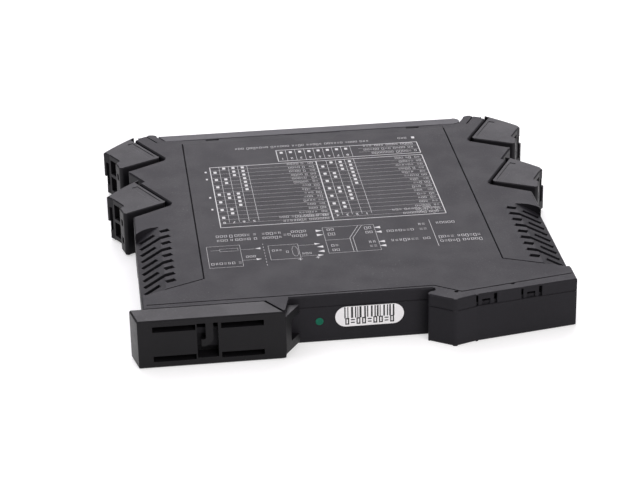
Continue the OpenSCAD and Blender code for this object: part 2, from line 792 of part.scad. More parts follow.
// Spring arm moulded onto the upper edge of the window, ending in a curl with a nub
module spring_arm() {
    r_out = spring_bend_r + spring_w;
    bend_x = spring_x - spring_w / 2 - spring_bend_r;
    bend_z = window_low + 2.7 + r_out;
    y0 = foot_out_y + spring_face;
    y1 = y0 + spring_t;
    block([spring_x - spring_w / 2, y0, bend_z - 0.1], [spring_x + spring_w / 2, y1, window_high + 0.3]);
    intersection() {
        difference() {
            translate([bend_x, y0, bend_z]) rotate([-90, 0, 0]) cylinder(r = r_out, h = y1 - y0);
            translate([bend_x, y0 - over, bend_z]) rotate([-90, 0, 0])
                cylinder(r = spring_bend_r, h = y1 - y0 + 2 * over);
        }
        block([bend_x, y0, bend_z - r_out - over], [bend_x + r_out + over, y1, bend_z]);
    }
    block([bend_x - 0.6, y0, bend_z - r_out], [bend_x + 0.1, y1, bend_z - spring_bend_r]);
    block([bend_x - 0.4, y1 - 0.1, bend_z - r_out + 0.2],
          [bend_x + 1, y0 + spring_nub + spring_t - 0.9, bend_z - 0.8]);
}

// Slanted line that the free end of the flap keeps to, parallel to the front shoulder
function flap_free(y) =
    let (w = -shoulder_w - flap_end_gap)
    [-at_y(plug_point(0, w, 0), plug_point(0, w, 1), y)[0], y];

// Hinged flap over the switch: front plate, two rims, knuckles with pins and snap lugs
module front_flap() {
    z0 = flap_side_gap;
    z1 = module_t - flap_side_gap;
    corners = outline([
        [flap_hinge[0], flap_rear, 0],
        [flap_hinge[0], flap_front, 0],
        rounded(flap_free(flap_front), 0.5),
        rounded(flap_free(flap_rear), 0.3)
    ]);
    color(flap_colour) placed()
        union() {
            difference() {
                union() {
                    prism(corners, z0, z1);
                    translate([flap_hinge[0], flap_hinge[1], z0]) cylinder(r = hinge_r, h = z1 - z0);
                }
                edge_bars(corners, z0, 0.2, 1, 3, 0);
                edge_bars(corners, z1, 0.2, -1, 3, 0);
                block([flap_free(flap_rear)[0] + flap_t, flap_rear - over, z0 + flap_t],
                      [flap_hinge[0] - flap_mid_cut - 0.6, flap_front - flap_t, z1 - flap_t]);
                block([flap_hinge[0] - flap_mid_cut, flap_rear - over, z0 + knuckle_h],
                      [flap_hinge[0] + hinge_r + over, flap_front + over, z1 - knuckle_h]);
                translate([led_x, flap_rear, led_z]) rotate([-90, 0, 0])
                    cylinder(r = led_r, h = 2 * flap_depth);
            }
            for (z = [z0 + knuckle_h - 0.2, z1 - knuckle_h - 1.3])
                translate([flap_hinge[0], flap_hinge[1], z]) cylinder(r = hinge_pin_r, h = 1.5);
            for (x = [-lug_x, lug_x])
                block([x - 1.3, flap_rear - 1.2, module_t - 2.2], [x + 1.3, flap_rear + 0.2, module_t - 1.2]);
        }
}

// Outline of a plug in its own frame
function crown(w) =
    let (chord = [plug_tip_w + notch_w - 0.1, plug_tip_h - crown_s],
         mid = [(plug_tip_w - notch_w + 0.1) / 2, (plug_tip_h + crown_s) / 2],
         up = unit([-chord[1], chord[0]]),
         centre = mid - up * sqrt(plug_crown_r * plug_crown_r - chord * chord / 4))
    centre[1] + sqrt(plug_crown_r * plug_crown_r - (w - centre[0]) * (w - centre[0]));
plug_outline = outline(concat(
    [
        [0, 0, 1.3],
        [plug_base_w, 0, 1],
        [plug_base_w - 1, 4.1, 0],
        [plug_wire_w, 4.7, 0],
        [plug_wire_w, plug_tip_h - 2.3, 0.5],
        [plug_tip_w, plug_tip_h, 0]
    ],
    [for (i = [1:6]) let (w = plug_tip_w - (plug_tip_w + notch_w - 0.1) * i / 6) [w, crown(w), 0]],
    [[-notch_w + 0.1, plug_inner_h - 0.1, 0], [0, plug_inner_h - 0.3, 0]]
));

// Pluggable two-pole screw terminal without its metal parts
module plug_body() {
    z1 = module_t - plug_z0;
    difference() {
        prism(plug_outline, plug_z0, z1);
        edge_bars(plug_outline, plug_z0, plug_chamfer, 1, 1.5);
        edge_bars(plug_outline, z1, plug_chamfer, -1, 1.5);
        for (z = [plug_z0 - over, z1 - 0.12])
            block([1, 1.6, z], [2.7, 13.4, z + over + 0.12]);
        for (q = [0:1])
            translate([0, 0, pole_z(q)]) {
                block([contact_w + 1, cage_bottom_s - 0.2, -cage_z / 2 - 0.15],
                      [screw_w + cage_w / 2 + 0.5, chamber_top_s, cage_z / 2 + 0.15]);
                block([screw_w, entry_s - entry_w / 2, -entry_h / 2],
                      [plug_base_w + over, entry_s + entry_w / 2, entry_h / 2]);
                block([contact_w - 0.1, contact_s - 1, -bar_z / 2 - 0.1],
                      [contact_w + 1.2, bar_s + bar_t + 0.1, bar_z / 2 + 0.1]);
                block([-over, contact_s - 1, -bar_z / 2 - 0.1],
                      [pin_end_w + 1.2, contact_s + 1, bar_z / 2 + 0.1]);
                block([pin_end_w, contact_s - 0.65, -0.9], [plug_base_w + over, contact_s + 0.65, 0.9]);
                translate([screw_w, 0, 0]) rotate([-90, 0, 0]) cylinder(r = screw_r + screw_gap, h = head_s);
                translate([screw_w, head_s, 0]) rotate([-90, 0, 0])
                    cylinder(r = screw_head_r + screw_gap, h = 2 * screw_head_h + over);
            }
        // Long slot beside the wire entries
        block([plug_wire_w - 2.5, plug_tip_h - 1.9, mid_z - 3.3], [plug_base_w, plug_tip_h - 0.7, mid_z + 3.3]);
        // Coding relief at the tip
        prism([[plug_tip_w + 0.5, plug_tip_h - 1.5], [plug_tip_w + 0.5, plug_tip_h + 1.5],
               [plug_tip_w - 2, plug_tip_h + 0.9]], mid_z + 0.9, module_t);
        // Wire funnels at both rims
        for (z = [plug_z0, z1])
            translate([plug_wire_w, entry_s - 3.1, z]) rotate([0, 45, 0])
                cube([0.9, 5.6, 0.9], center = false);
    }
}

module terminal_plug(p) {
    color(plug_colour) placed() at_plug(p) plug_body();
}

// Contact bars with their forks for the header pins
module clamp_contacts(p) {
    color(brass_colour) placed()
        at_plug(p)
            for (q = [0:1])
                translate([0, 0, pole_z(q)])
                    difference() {
                        union() {
                            block([contact_w, bar_s, -bar_z / 2],
                                  [screw_w + cage_w / 2 + 0.1, bar_s + bar_t, bar_z / 2]);
                            block([contact_w, contact_s - 0.9, -bar_z / 2],
                                  [contact_w + bar_t, bar_s + bar_t, bar_z / 2]);
                            for (s = [-1, 1])
                                block([contact_w, contact_s + s * 0.675 - 0.225, -bar_z / 2 + 0.2],
                                      [pin_end_w, contact_s + s * 0.675 + 0.225, bar_z / 2 - 0.2]);
                        }
                        block([0, contact_s - pin_side / 2 - 0.05, -pin_side / 2 - 0.05],
                              [pin_end_w + over, contact_s + pin_side / 2 + 0.05, pin_side / 2 + 0.05]);
                    }
}

// Plug socket on the board, behind the pocket wall
module plug_socket(p) {
    flange = 1.2;
    color(plug_colour) placed()
        at_socket(p)
            difference() {
                union() {
                    block([-5.5, contact_s - socket_half, board_top],
                          [-plug_gap - 0.05, contact_s + socket_half, socket_top]);
                    block([-5.5, contact_s - socket_half - flange, board_top],
                          [-plug_gap - wall - 0.05, contact_s + socket_half + flange, socket_top]);
                }
                for (q = [0:1])
                    block([-6, contact_s - pin_side / 2 - 0.02, pole_z(q) - pin_side / 2 - 0.02],
                          [over, contact_s + pin_side / 2 + 0.02, pole_z(q) + pin_side / 2 + 0.02]);
            }
}

// Angled pins of one socket, soldered into the board
module socket_pins(p) {
    color(steel_colour) placed()
        at_socket(p)
            for (q = [0:1]) {
                block([leg_w[q] - pin_side / 2, contact_s - pin_side / 2, pole_z(q) - pin_side / 2],
                      [pin_end_w, contact_s + pin_side / 2, pole_z(q) + pin_side / 2]);
                block([leg_w[q] - pin_side / 2, contact_s - pin_side / 2, floor_z + 0.1],
                      [leg_w[q] + pin_side / 2, contact_s + pin_side / 2, pole_z(q)]);
            }
}

// Captive clamp screw of terminal t, counted two to a plug
module clamp_screw(t) {
    p = floor(t / 2);
    color(steel_colour) placed()
        at_plug(p)
            translate([screw_w, 0, pole_z(t % 2)])
                difference() {
                    union() {
                        translate([0, cage_open_s + fit_gap, 0]) rotate([-90, 0, 0])
                            cylinder(r = screw_r, h = head_s - cage_open_s);
                        translate([0, head_s + 0.05, 0]) rotate([-90, 0, 0])
                            cylinder(r = screw_head_r, h = screw_head_h);
                    }
                    block([-screw_head_r - over, head_s + 0.05 + screw_head_h * 0.4, -screw_slot / 2],
                          [screw_head_r + over, head_s + screw_head_h + over, screw_slot / 2]);
                }
}

// Clamp cage of terminal t, in its open position
module clamp_cage(t) {
    p = floor(t / 2);
    w0 = screw_w - cage_w / 2;
    color(steel_colour) placed()
        at_plug(p)
            translate([0, 0, pole_z(t % 2)])
                difference() {
                    block([w0, cage_bottom_s, -cage_z / 2],
                          [w0 + cage_w, cage_open_s + cage_top_t, cage_z / 2]);
                    block([w0 - over, cage_bottom_s + cage_t, -screw_r - 2 * thread_gap],
                          [w0 + cage_w + over, cage_open_s, screw_r + 2 * thread_gap]);
                    translate([screw_w, cage_open_s - over, 0]) rotate([-90, 0, 0])
                        cylinder(r = screw_r + thread_gap, h = cage_top_t + 2 * over);
                }
}

// Circuit board on the base posts
module circuit_board() {
    color(board_colour) placed()
        difference() {
            block([-board_half, board_rear, board_z], [board_half, board_front, board_top]);
            for (x = [-post_x, post_x], y = post_rows)
                translate([x, y, board_z - over]) cylinder(r = post_pin_r + fit_gap, h = 3 * over);
            for (p = [0:3])
                at_socket(p)
                    for (w = leg_w)
                        translate([w, contact_s, board_z - over]) cylinder(r = 0.7, h = 3 * over);
        }
}

// Isolating transformer: ferrite frame with two windows
module transformer_core() {
    window = [(core_size[0] - core_leg) / 2 - core_yoke, core_size[1] - 2 * core_yoke];
    color(ferrite_colour) placed()
        translate([transformer_at[0], transformer_at[1], core_z])
            difference() {
                translate([-core_size[0] / 2, -core_size[1] / 2, 0]) cube(core_size);
                for (s = [-1, 1])
                    translate([s * (core_leg + window[0]) / 2 - window[0] / 2, -window[1] / 2, -over])
                        cube([window[0], window[1], core_size[2] + 2 * over]);
            }
}

// Winding on its bobbin round the middle leg, with the bobbin feet on the board
module transformer_winding() {
    reach = (core_size[0] - 2 * core_yoke) / 2 - 0.3;
    span = core_size[1] / 2 - core_yoke - fit_gap;
    coil = 1.5;
    color(winding_colour) placed()
        translate([transformer_at[0], transformer_at[1], core_z])
            difference() {
                union() {
                    for (y = [-span, span - 0.8])
                        block([-reach, y, -core_z + board_top], [reach, y + 0.8, core_size[2] + coil + 0.3]);
                    translate([0, span, core_size[2] / 2]) rotate([90, 0, 0])
                        linear_extrude(height = 2 * span)
                            polygon(outline([
                                [-reach + 0.4, -core_size[2] / 2 - coil, 1.2],
                                [reach - 0.4, -core_size[2] / 2 - coil, 1.2],
                                [reach - 0.4, core_size[2] / 2 + coil, 1.2],
                                [-reach + 0.4, core_size[2] / 2 + coil, 1.2]
                            ]));
                }
                block([-core_leg / 2 - fit_gap, -span - over, -fit_gap],
                      [core_leg / 2 + fit_gap, span + over, core_size[2] + fit_gap]);
            }
}

// Lying electrolytic capacitors with a rolled groove and two bent leads
module capacitors() {
    groove_at = 1.6;
    groove_in = 0.35;
    placed() for (spot = cap_spots)
        translate([spot[0], spot[1], board_top + cap_r]) {
            color(part_colour)
                rotate([0, 90, 0])
                    rotate_extrude()
                        polygon([[0, 0], [cap_r - 0.3, 0], [cap_r, 0.3], [cap_r, groove_at - 0.4],
                                 [cap_r - groove_in, groove_at], [cap_r, groove_at + 0.4],
                                 [cap_r, cap_len - 0.3], [cap_r - 0.3, cap_len], [0, cap_len]]);
            color(steel_colour)
                for (y = [-1.25, 1.25]) {
                    translate([-1.6, y, 0]) rotate([0, 90, 0]) cylinder(r = 0.3, h = 1.7);
                    translate([-1.6, y, -cap_r]) cylinder(r = 0.3, h = cap_r + 0.3);
                }
        }
}

// Chips with their leads, standing on the board
module chip(size, leads, pitch, both) {
    lead = 0.9;
    translate([-size[0] / 2, -size[1] / 2, 0.15]) cube([size[0], size[1], size[2]]);
    for (i = [0:leads - 1]) {
        t = (i - (leads - 1) / 2) * pitch;
        block([t - 0.2, -size[1] / 2 - lead, 0], [t + 0.2, size[1] / 2 + lead, 0.35]);
        if (both)
            block([-size[0] / 2 - lead, t - 0.2, 0], [size[0] / 2 + lead, t + 0.2, 0.35]);
    }
}

module chips() {
    color(part_colour) placed() {
        translate([10, 72, board_top]) chip([9, 9, 1.3], 8, 0.95, true);
        for (spot = [[-22, 62], [-10, 62], [20, 52]])
            translate([spot[0], spot[1], board_top]) chip([5.2, 6.2, 2.2], 4, 1.27, false);
    }
}

// Upright light with its holder, seen through the front wall
module status_light() {
    back = front_y - wall - 3.4;
    color(light_colour) placed()
        union() {
            translate([led_x, back + 0.5, led_z]) rotate([-90, 0, 0])
                cylinder(r = led_r, h = front_y - 0.6 - back - 0.5);
            translate([led_x, front_y - 0.6 - led_r * 0.3, led_z]) sphere(r = led_r - 0.02);
            block([led_x - 2, back, board_top], [led_x + 2, back + 2.6, led_z + 2]);
        }
}

function dip_x(i) = (i - (dip_count - 1) / 2) * dip_pitch;

// Switch housing with one slot to a slider
module dip_switch_body() {
    color(switch_colour) placed()
        difference() {
            block([-dip_len / 2, dip_face_y - dip_depth, board_top], [dip_len / 2, dip_face_y, dip_top]);
            for (i = [0:dip_count - 1])
                block([dip_x(i) - dip_knob / 2 - dip_gap, dip_face_y - dip_slot_deep, dip_slot_z - dip_gap],
                      [dip_x(i) + dip_knob / 2 + dip_gap, dip_face_y + over,
                       dip_slot_z + dip_knob + dip_travel + dip_gap]);
        }
}

module dip_slider(i) {
    color(slider_colour) placed()
        block([dip_x(i) - dip_knob / 2, dip_face_y - dip_slot_deep + 0.05, dip_slot_z],
              [dip_x(i) + dip_knob / 2, dip_face_y + 0.05, dip_slot_z + dip_knob]);
}

// Label and test dot on the rail seat
module serial_label() {
    end = label_h / 2;
    middle = [1.8, 0.1 + seam_z - 3.1];
    color(paper_colour) placed()
        translate([middle[0], 0, middle[1]]) rotate([90, 0, 0])
            union() {
                for (s = [-1, 1])
                    translate([s * (label_len / 2 - end), 0, 0]) cylinder(r = end, h = label_t);
                translate([-label_len / 2 + end, -end, 0]) cube([label_len - label_h, label_h, label_t]);
            }
}

module test_dot() {
    color(dot_colour) placed()
        translate([-10.3, 0, 5.6]) rotate([90, 0, 0]) cylinder(r = dot_r, h = label_t);
}

base_shell();
cover_shell();
rail_foot();
front_flap();
terminal_plug(0);  // terminal_plug_1
terminal_plug(1);  // terminal_plug_2
terminal_plug(2);  // terminal_plug_3
terminal_plug(3);  // terminal_plug_4
clamp_contacts(0);  // clamp_contacts_1
clamp_contacts(1);  // clamp_contacts_2
clamp_contacts(2);  // clamp_contacts_3
clamp_contacts(3);  // clamp_contacts_4
plug_socket(0);  // plug_socket_1
plug_socket(1);  // plug_socket_2
plug_socket(2);  // plug_socket_3
plug_socket(3);  // plug_socket_4
socket_pins(0);  // socket_pins_1
socket_pins(1);  // socket_pins_2
socket_pins(2);  // socket_pins_3
socket_pins(3);  // socket_pins_4
clamp_screw(0);  // clamp_screw_1
clamp_screw(1);  // clamp_screw_2
clamp_screw(2);  // clamp_screw_3
clamp_screw(3);  // clamp_screw_4
clamp_screw(4);  // clamp_screw_5
clamp_screw(5);  // clamp_screw_6
clamp_screw(6);  // clamp_screw_7
clamp_screw(7);  // clamp_screw_8
clamp_cage(0);  // clamp_cage_1
clamp_cage(1);  // clamp_cage_2
clamp_cage(2);  // clamp_cage_3
clamp_cage(3);  // clamp_cage_4
clamp_cage(4);  // clamp_cage_5
clamp_cage(5);  // clamp_cage_6
clamp_cage(6);  // clamp_cage_7
clamp_cage(7);  // clamp_cage_8
circuit_board();
transformer_core();
transformer_winding();
capacitors();
chips();
status_light();
dip_switch_body();
dip_slider(0);  // dip_slider_1
dip_slider(1);  // dip_slider_2
dip_slider(2);  // dip_slider_3
dip_slider(3);  // dip_slider_4
dip_slider(4);  // dip_slider_5
dip_slider(5);  // dip_slider_6
dip_slider(6);  // dip_slider_7
dip_slider(7);  // dip_slider_8
serial_label();
test_dot();
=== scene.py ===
"""Looks of a slim signal converter for a 35 mm rail, lying on its side.

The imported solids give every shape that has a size. This script gives them their finishes, adds the
printing on the side face, on the rail label and on the small switch, and sets up the studio.
Sizes and places are in millimetres, except in the studio, where they are in metres.
"""
import json
import logging
import math
import random
from dataclasses import dataclass, field
from enum import Enum
from typing import Callable, Iterable, Optional

import bpy
from mathutils import Matrix, Vector


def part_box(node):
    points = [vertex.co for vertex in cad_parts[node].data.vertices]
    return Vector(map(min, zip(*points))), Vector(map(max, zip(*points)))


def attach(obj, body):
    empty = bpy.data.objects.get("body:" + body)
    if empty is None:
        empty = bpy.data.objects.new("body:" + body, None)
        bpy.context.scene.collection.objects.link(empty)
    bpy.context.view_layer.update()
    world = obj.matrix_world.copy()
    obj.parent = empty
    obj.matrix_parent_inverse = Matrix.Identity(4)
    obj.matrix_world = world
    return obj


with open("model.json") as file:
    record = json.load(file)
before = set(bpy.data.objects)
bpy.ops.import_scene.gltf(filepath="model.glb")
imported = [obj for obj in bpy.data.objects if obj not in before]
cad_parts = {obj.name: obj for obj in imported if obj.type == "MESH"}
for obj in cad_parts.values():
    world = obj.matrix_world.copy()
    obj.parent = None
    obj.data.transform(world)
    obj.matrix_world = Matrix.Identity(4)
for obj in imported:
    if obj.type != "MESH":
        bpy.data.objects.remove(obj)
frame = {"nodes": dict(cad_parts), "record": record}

MM = 0.001
LOG = logging.getLogger("signal_converter")
Spot = tuple[float, float]
Triple = tuple[float, float, float]
RGB = Triple
Inputs = dict[int | str, object]
Node = bpy.types.Node
NodeTree = bpy.types.NodeTree
Socket = bpy.types.NodeSocket
Material = bpy.types.Material
Piece = bpy.types.Object


class Ink(Enum):
    """Printing inks by what they are printed on."""

    PANEL = "panel_ink"
    LABEL = "label_ink"
    SWITCH = "switch_ink"


class Grade(Enum):
    """How strongly a moulded surface is textured."""

    SMOOTH = 0.25
    SATIN = 0.6
    ERODED = 1.0


# --- node helpers


class Graph:
    """A node tree with short calls for adding and joining nodes."""

    def __init__(self, tree: NodeTree) -> None:
        """Keeps the tree and starts its layout at the left.

        Args:
            tree: The node tree to fill.
        """
        self.tree = tree
        self.column = 0

    def add(self, kind: str, given: Optional[Inputs] = None, **settings: object) -> Node:
        """Adds a node, sets its properties and feeds its inputs.

        Args:
            kind: The node's type name.
            given: Numbers or sockets for its inputs, by name or place.
            **settings: Attributes of the node.

        Returns:
            The new node.
        """
        node = self.tree.nodes.new(kind)
        node.location = (self.column * 190 - 900, -(self.column % 3) * 170)
        self.column += 1
        for name, value in settings.items():
            setattr(node, name, value)
        for place, value in (given or {}).items():
            self.feed(node.inputs[place], value)
        return node

    def join(self, source: Socket, target: Socket) -> None:
        """Links one socket to another."""
        self.tree.links.new(source, target)

    def math(self, operation: str, *values: object, clamp: bool = False) -> Socket:
        """Adds a Math node.

        Args:
            operation: The name of the operation.
            *values: Numbers or sockets for its inputs.
            clamp: Whether the result is held between 0 and 1.

        Returns:
            The node's output.
        """
        given = dict(enumerate(values))
        return self.add("ShaderNodeMath", given, operation=operation, use_clamp=clamp).outputs[0]

    def times(self, first: object, second: object, clamp: bool = False) -> Socket:
        """Multiplies two values."""
        return self.math("MULTIPLY", first, second, clamp=clamp)

    def z_of(self, vector: Socket) -> Socket:
        """Gives the Z part of a vector."""
        return self.add("ShaderNodeSeparateXYZ", {0: vector}).outputs["Z"]

    def feed(self, socket: Socket, value: object) -> None:
        """Links a socket to the input, or writes a plain value on it."""
        if isinstance(value, Socket):
            self.join(value, socket)
        else:
            socket.default_value = value

    def range(self, value: Socket, low: float, high: float,
              to_low: float = 0.0, to_high: float = 1.0) -> Socket:
        """Maps a value smoothly from one range to another.

        Args:
            value: The socket to map.
            low: Start of the incoming range.
            high: End of the incoming range.
            to_low: What the start becomes.
            to_high: What the end becomes.

        Returns:
            The mapped socket.
        """
        given = {"Value": value, "From Min": low, "From Max": high, "To Min": to_low, "To Max": to_high}
        return self.add("ShaderNodeMapRange", given, interpolation_type="SMOOTHSTEP").outputs["Result"]

    def mix(self, factor: object, first: object, second: object) -> Socket:
        """Mixes two colours.

        Args:
            factor: Share of the second colour.
            first: Colour or socket at factor 0.
            second: Colour or socket at factor 1.

        Returns:
            The mixed colour.
        """
        node = self.add("ShaderNodeMix", {"Factor": factor}, data_type="RGBA")
        for name, value in (("A", first), ("B", second)):
            socket = next(s for s in node.inputs if s.name == name and s.type == "RGBA")
            self.feed(socket, value if isinstance(value, Socket) else (*value, 1.0))
        return next(s for s in node.outputs if s.type == "RGBA")

    def noise(self, size: float, detail: float = 2.0, rough: float = 0.5,
              squeeze: float = 1.0, turn: float = 0.0) -> Socket:
        """Adds a noise of a given feature size on the object's own coordinates.

        Args:
            size: Size of one feature in millimetres.
            detail: Number of finer layers.
            rough: Strength of the finer layers.
            squeeze: Scale along Y, below 1 for long streaks.
            turn: Turn of the streaks in radians.

        Returns:
            The noise value.
        """
        place = self.coordinates()
        if squeeze != 1.0:
            streaks = {"Vector": place, "Rotation": (0.0, 0.0, turn), "Scale": (1.0, squeeze, 1.0)}
            place = self.add("ShaderNodeMapping", streaks).outputs["Vector"]
        given = {"Vector": place, "Scale": 1.0 / (size * MM), "Detail": detail, "Roughness": rough}
        return self.add("ShaderNodeTexNoise", given).outputs["Fac"]

    def coordinates(self) -> Socket:
        """Gives the object coordinates."""
        return self.add("ShaderNodeTexCoord").outputs["Object"]


class ShaderGroups:
    """Effects that several finishes share, each built once as a node group. Sizes are of one feature."""

    PIT_SIZE = 0.22
    SOFT_EDGE = 0.1
    RUBBED_EDGE = 0.16
    FLOOR_REACH = (0.05, 0.1)

    def __init__(self) -> None:
        """Starts with no groups."""
        self.made: dict[str, NodeTree] = {}

    def get(self, name: str) -> NodeTree:
        """Gives a group by name and builds it the first time.

        Args:
            name: One of mould_grain, edge_wear, dust_film, engraved_floor and drawn_metal.

        Returns:
            The node group.
        """
        if name not in self.made:
            self.made[name] = getattr(self, "_" + name)()
        return self.made[name]

    @staticmethod
    def _shell(name: str, given: str, *results: str) -> tuple[Graph, Socket, Node]:
        """Makes an empty group with one input and its results, of which a Normal is a vector.

        Args:
            name: The group's name.
            given: Name of its input.
            *results: Names of its outputs.

        Returns:
            The graph, the input's socket and the output node.
        """
        tree = bpy.data.node_groups.new(name, "ShaderNodeTree")
        tree.interface.new_socket(given, in_out="INPUT", socket_type="NodeSocketFloat")
        for label in results:
            kind = "NodeSocketVector" if label == "Normal" else "NodeSocketFloat"
            tree.interface.new_socket(label, in_out="OUTPUT", socket_type=kind)
        graph = Graph(tree)
        return graph, graph.add("NodeGroupInput").outputs[given], graph.add("NodeGroupOutput")

    def _mould_grain(self) -> NodeTree:
        """Builds the texture of a spark-eroded mould.

        Returns:
            A group with Height for a bump and Mottle for colour and gloss.
        """
        graph, grain, out = self._shell("mould_grain", "Grain", "Height", "Mottle")
        given = {"Vector": graph.coordinates(), "Scale": 1.0 / (self.PIT_SIZE * MM)}
        cells = graph.add("ShaderNodeTexVoronoi", given, feature="SMOOTH_F1")
        fine = graph.noise(0.12, detail=3.0, rough=0.6)
        pits = graph.times(graph.range(cells.outputs["Distance"], 0.05, 0.7), 0.65)
        height = graph.math("ADD", pits, graph.times(fine, 0.5))
        graph.join(graph.times(height, grain), out.inputs["Height"])
        broad = graph.range(graph.noise(9.0, detail=5.0, rough=0.65), 0.3, 0.7)
        speck = graph.range(graph.noise(0.5, detail=2.0), 0.35, 0.65)
        graph.join(graph.math("ADD", graph.times(broad, 0.7), graph.times(speck, 0.3)), out.inputs["Mottle"])
        return graph.tree

    def _edge_wear(self) -> NodeTree:
        """Builds rounded edges with a mask of where they are rubbed.

        Returns:
            A group with a Normal that softens edges and an Edge mask.
        """
        graph, wear, out = self._shell("edge_wear", "Wear", "Normal", "Edge")
        soft, wide = (graph.add("ShaderNodeBevel", {"Radius": reach * MM}, samples=6).outputs["Normal"]
                      for reach in (self.SOFT_EDGE, self.RUBBED_EDGE))
        flat = graph.add("ShaderNodeNewGeometry").outputs["Normal"]
        turn = graph.add("ShaderNodeVectorMath", {0: wide, 1: flat}, operation="DOT_PRODUCT")
        bend = graph.range(graph.math("SUBTRACT", 1.0, turn.outputs["Value"]), 0.01, 0.22)
        broken = graph.range(graph.noise(1.6, detail=4.0, rough=0.7), 0.38, 0.62)
        graph.join(soft, out.inputs["Normal"])
        graph.join(graph.times(bend, graph.times(broken, wear), clamp=True), out.inputs["Edge"])
        return graph.tree

    def _dust_film(self) -> NodeTree:
        """Builds a thin film of dust and handling marks on faces that look up.

        Returns:
            A group with a Dust mask and a Smear mask.
        """
        graph, amount, out = self._shell("dust_film", "Amount", "Dust", "Smear")
        up = graph.range(graph.z_of(graph.add("ShaderNodeNewGeometry").outputs["Normal"]), 0.2, 0.95)
        motes = graph.range(graph.noise(0.35, detail=1.0), 0.66, 0.78)
        patches = graph.range(graph.noise(14.0, detail=3.0), 0.35, 0.75)
        dust = graph.times(graph.times(motes, patches), up)
        graph.join(graph.times(dust, amount, clamp=True), out.inputs["Dust"])
        smear = graph.range(graph.noise(6.0, detail=4.0, rough=0.7, squeeze=0.35, turn=0.5), 0.45, 0.8)
        graph.join(graph.times(smear, amount, clamp=True), out.inputs["Smear"])
        return graph.tree

    def _engraved_floor(self) -> NodeTree:
        """Builds a mask of flat floors that lie at one height, where engraved lines get painted shade and a
        dull gloss.

        Returns:
            A group with a Floor mask.
        """
        graph, height, out = self._shell("engraved_floor", "Height", "Floor")
        off = graph.math("ABSOLUTE", graph.math("SUBTRACT", graph.z_of(graph.coordinates()), height))
        facing = graph.z_of(graph.add("ShaderNodeNewGeometry").outputs["True Normal"])
        near, far = (reach * MM for reach in self.FLOOR_REACH)
        level = graph.range(off, near, far, 1.0, 0.0)
        flat = graph.range(facing, 0.998, 0.9995)
        graph.join(graph.times(level, flat, clamp=True), out.inputs["Floor"])
        return graph.tree

    def _drawn_metal(self) -> NodeTree:
        """Builds the fine scratches and plating clouds of small metal parts.

        Returns:
            A group with Height for a bump and Cloud for colour and gloss.
        """
        graph, depth, out = self._shell("drawn_metal", "Depth", "Height", "Cloud")
        lines = graph.noise(0.08, detail=3.0, rough=0.7, squeeze=0.08)
        graph.join(graph.times(lines, depth), out.inputs["Height"])
        graph.join(graph.range(graph.noise(1.1, detail=4.0, rough=0.6), 0.3, 0.7), out.inputs["Cloud"])
        return graph.tree


GROUPS = ShaderGroups()


def tinted(colour: RGB, factor: float) -> RGB:
    """Gives a colour made lighter or darker by a factor."""
    return (min(1.0, colour[0] * factor), min(1.0, colour[1] * factor), min(1.0, colour[2] * factor))


class Surface:
    """A new material with its Principled shader and the shared groups at hand."""

    def __init__(self, name: str) -> None:
        """Creates the material.

        Args:
            name: The material's name.
        """
        self.material = bpy.data.materials.new(name)
        self.material.use_nodes = True
        self.material.node_tree.nodes.clear()
        self.graph = Graph(self.material.node_tree)
        self.shader = self.graph.add("ShaderNodeBsdfPrincipled")
        self.output = self.graph.add("ShaderNodeOutputMaterial")
        self.graph.join(self.shader.outputs["BSDF"], self.output.inputs["Surface"])

    def group(self, name: str, **values: float) -> Node:
        """Places a shared group in the material.

        Args:
            name: The group's name.
            **values: Values of its inputs.

        Returns:
            The group node.
        """
        return self.graph.add("ShaderNodeGroup", values, node_tree=GROUPS.get(name))

    def wave(self, direction: str, pitch: float) -> Node:
        """Adds bands across the object.

        Args:
            direction: The axis that they follow each other along.
            pitch: Size of the bands in millimetres.

        Returns:
            The wave texture node.
        """
        given = {"Vector": self.graph.coordinates(), "Scale": 0.3 / (pitch * MM)}
        return self.graph.add("ShaderNodeTexWave", given, wave_type="BANDS", bands_direction=direction)

    def shades(self, factor: Socket, colour: RGB, low: float, high: float = 1.0) -> Socket:
        """Mixes two shades of one colour.

        Args:
            factor: Share of the second shade.
            colour: The colour.
            low: How bright the first shade is beside it.
            high: How bright the second shade is beside it.

        Returns:
            The mixed colour.
        """
        return self.graph.mix(factor, tinted(colour, low), tinted(colour, high))

    def dress(self, colour: Socket, roughness: object, **more: float) -> None:
        """Feeds the shader's colour, its roughness and any other of its inputs by name."""
        for name, value in {"Base Color": colour, "Roughness": roughness, **more}.items():
            self.graph.feed(self.shader.inputs[name.replace("_", " ")], value)

    def bump(self, height: Socket, distance: float, strength: float, normal: Optional[Socket] = None) -> None:
        """Gives the shader a bumped normal.

        Args:
            height: The height to read.
            distance: Depth of the relief in millimetres.
            strength: Strength of the effect.
            normal: A normal to start from.
        """
        given = {"Height": height, "Distance": distance * MM, "Strength": strength}
        if normal is not None:
            given["Normal"] = normal
        bumped = self.graph.add("ShaderNodeBump", given).outputs["Normal"]
        self.graph.join(bumped, self.shader.inputs["Normal"])


# --- finishes


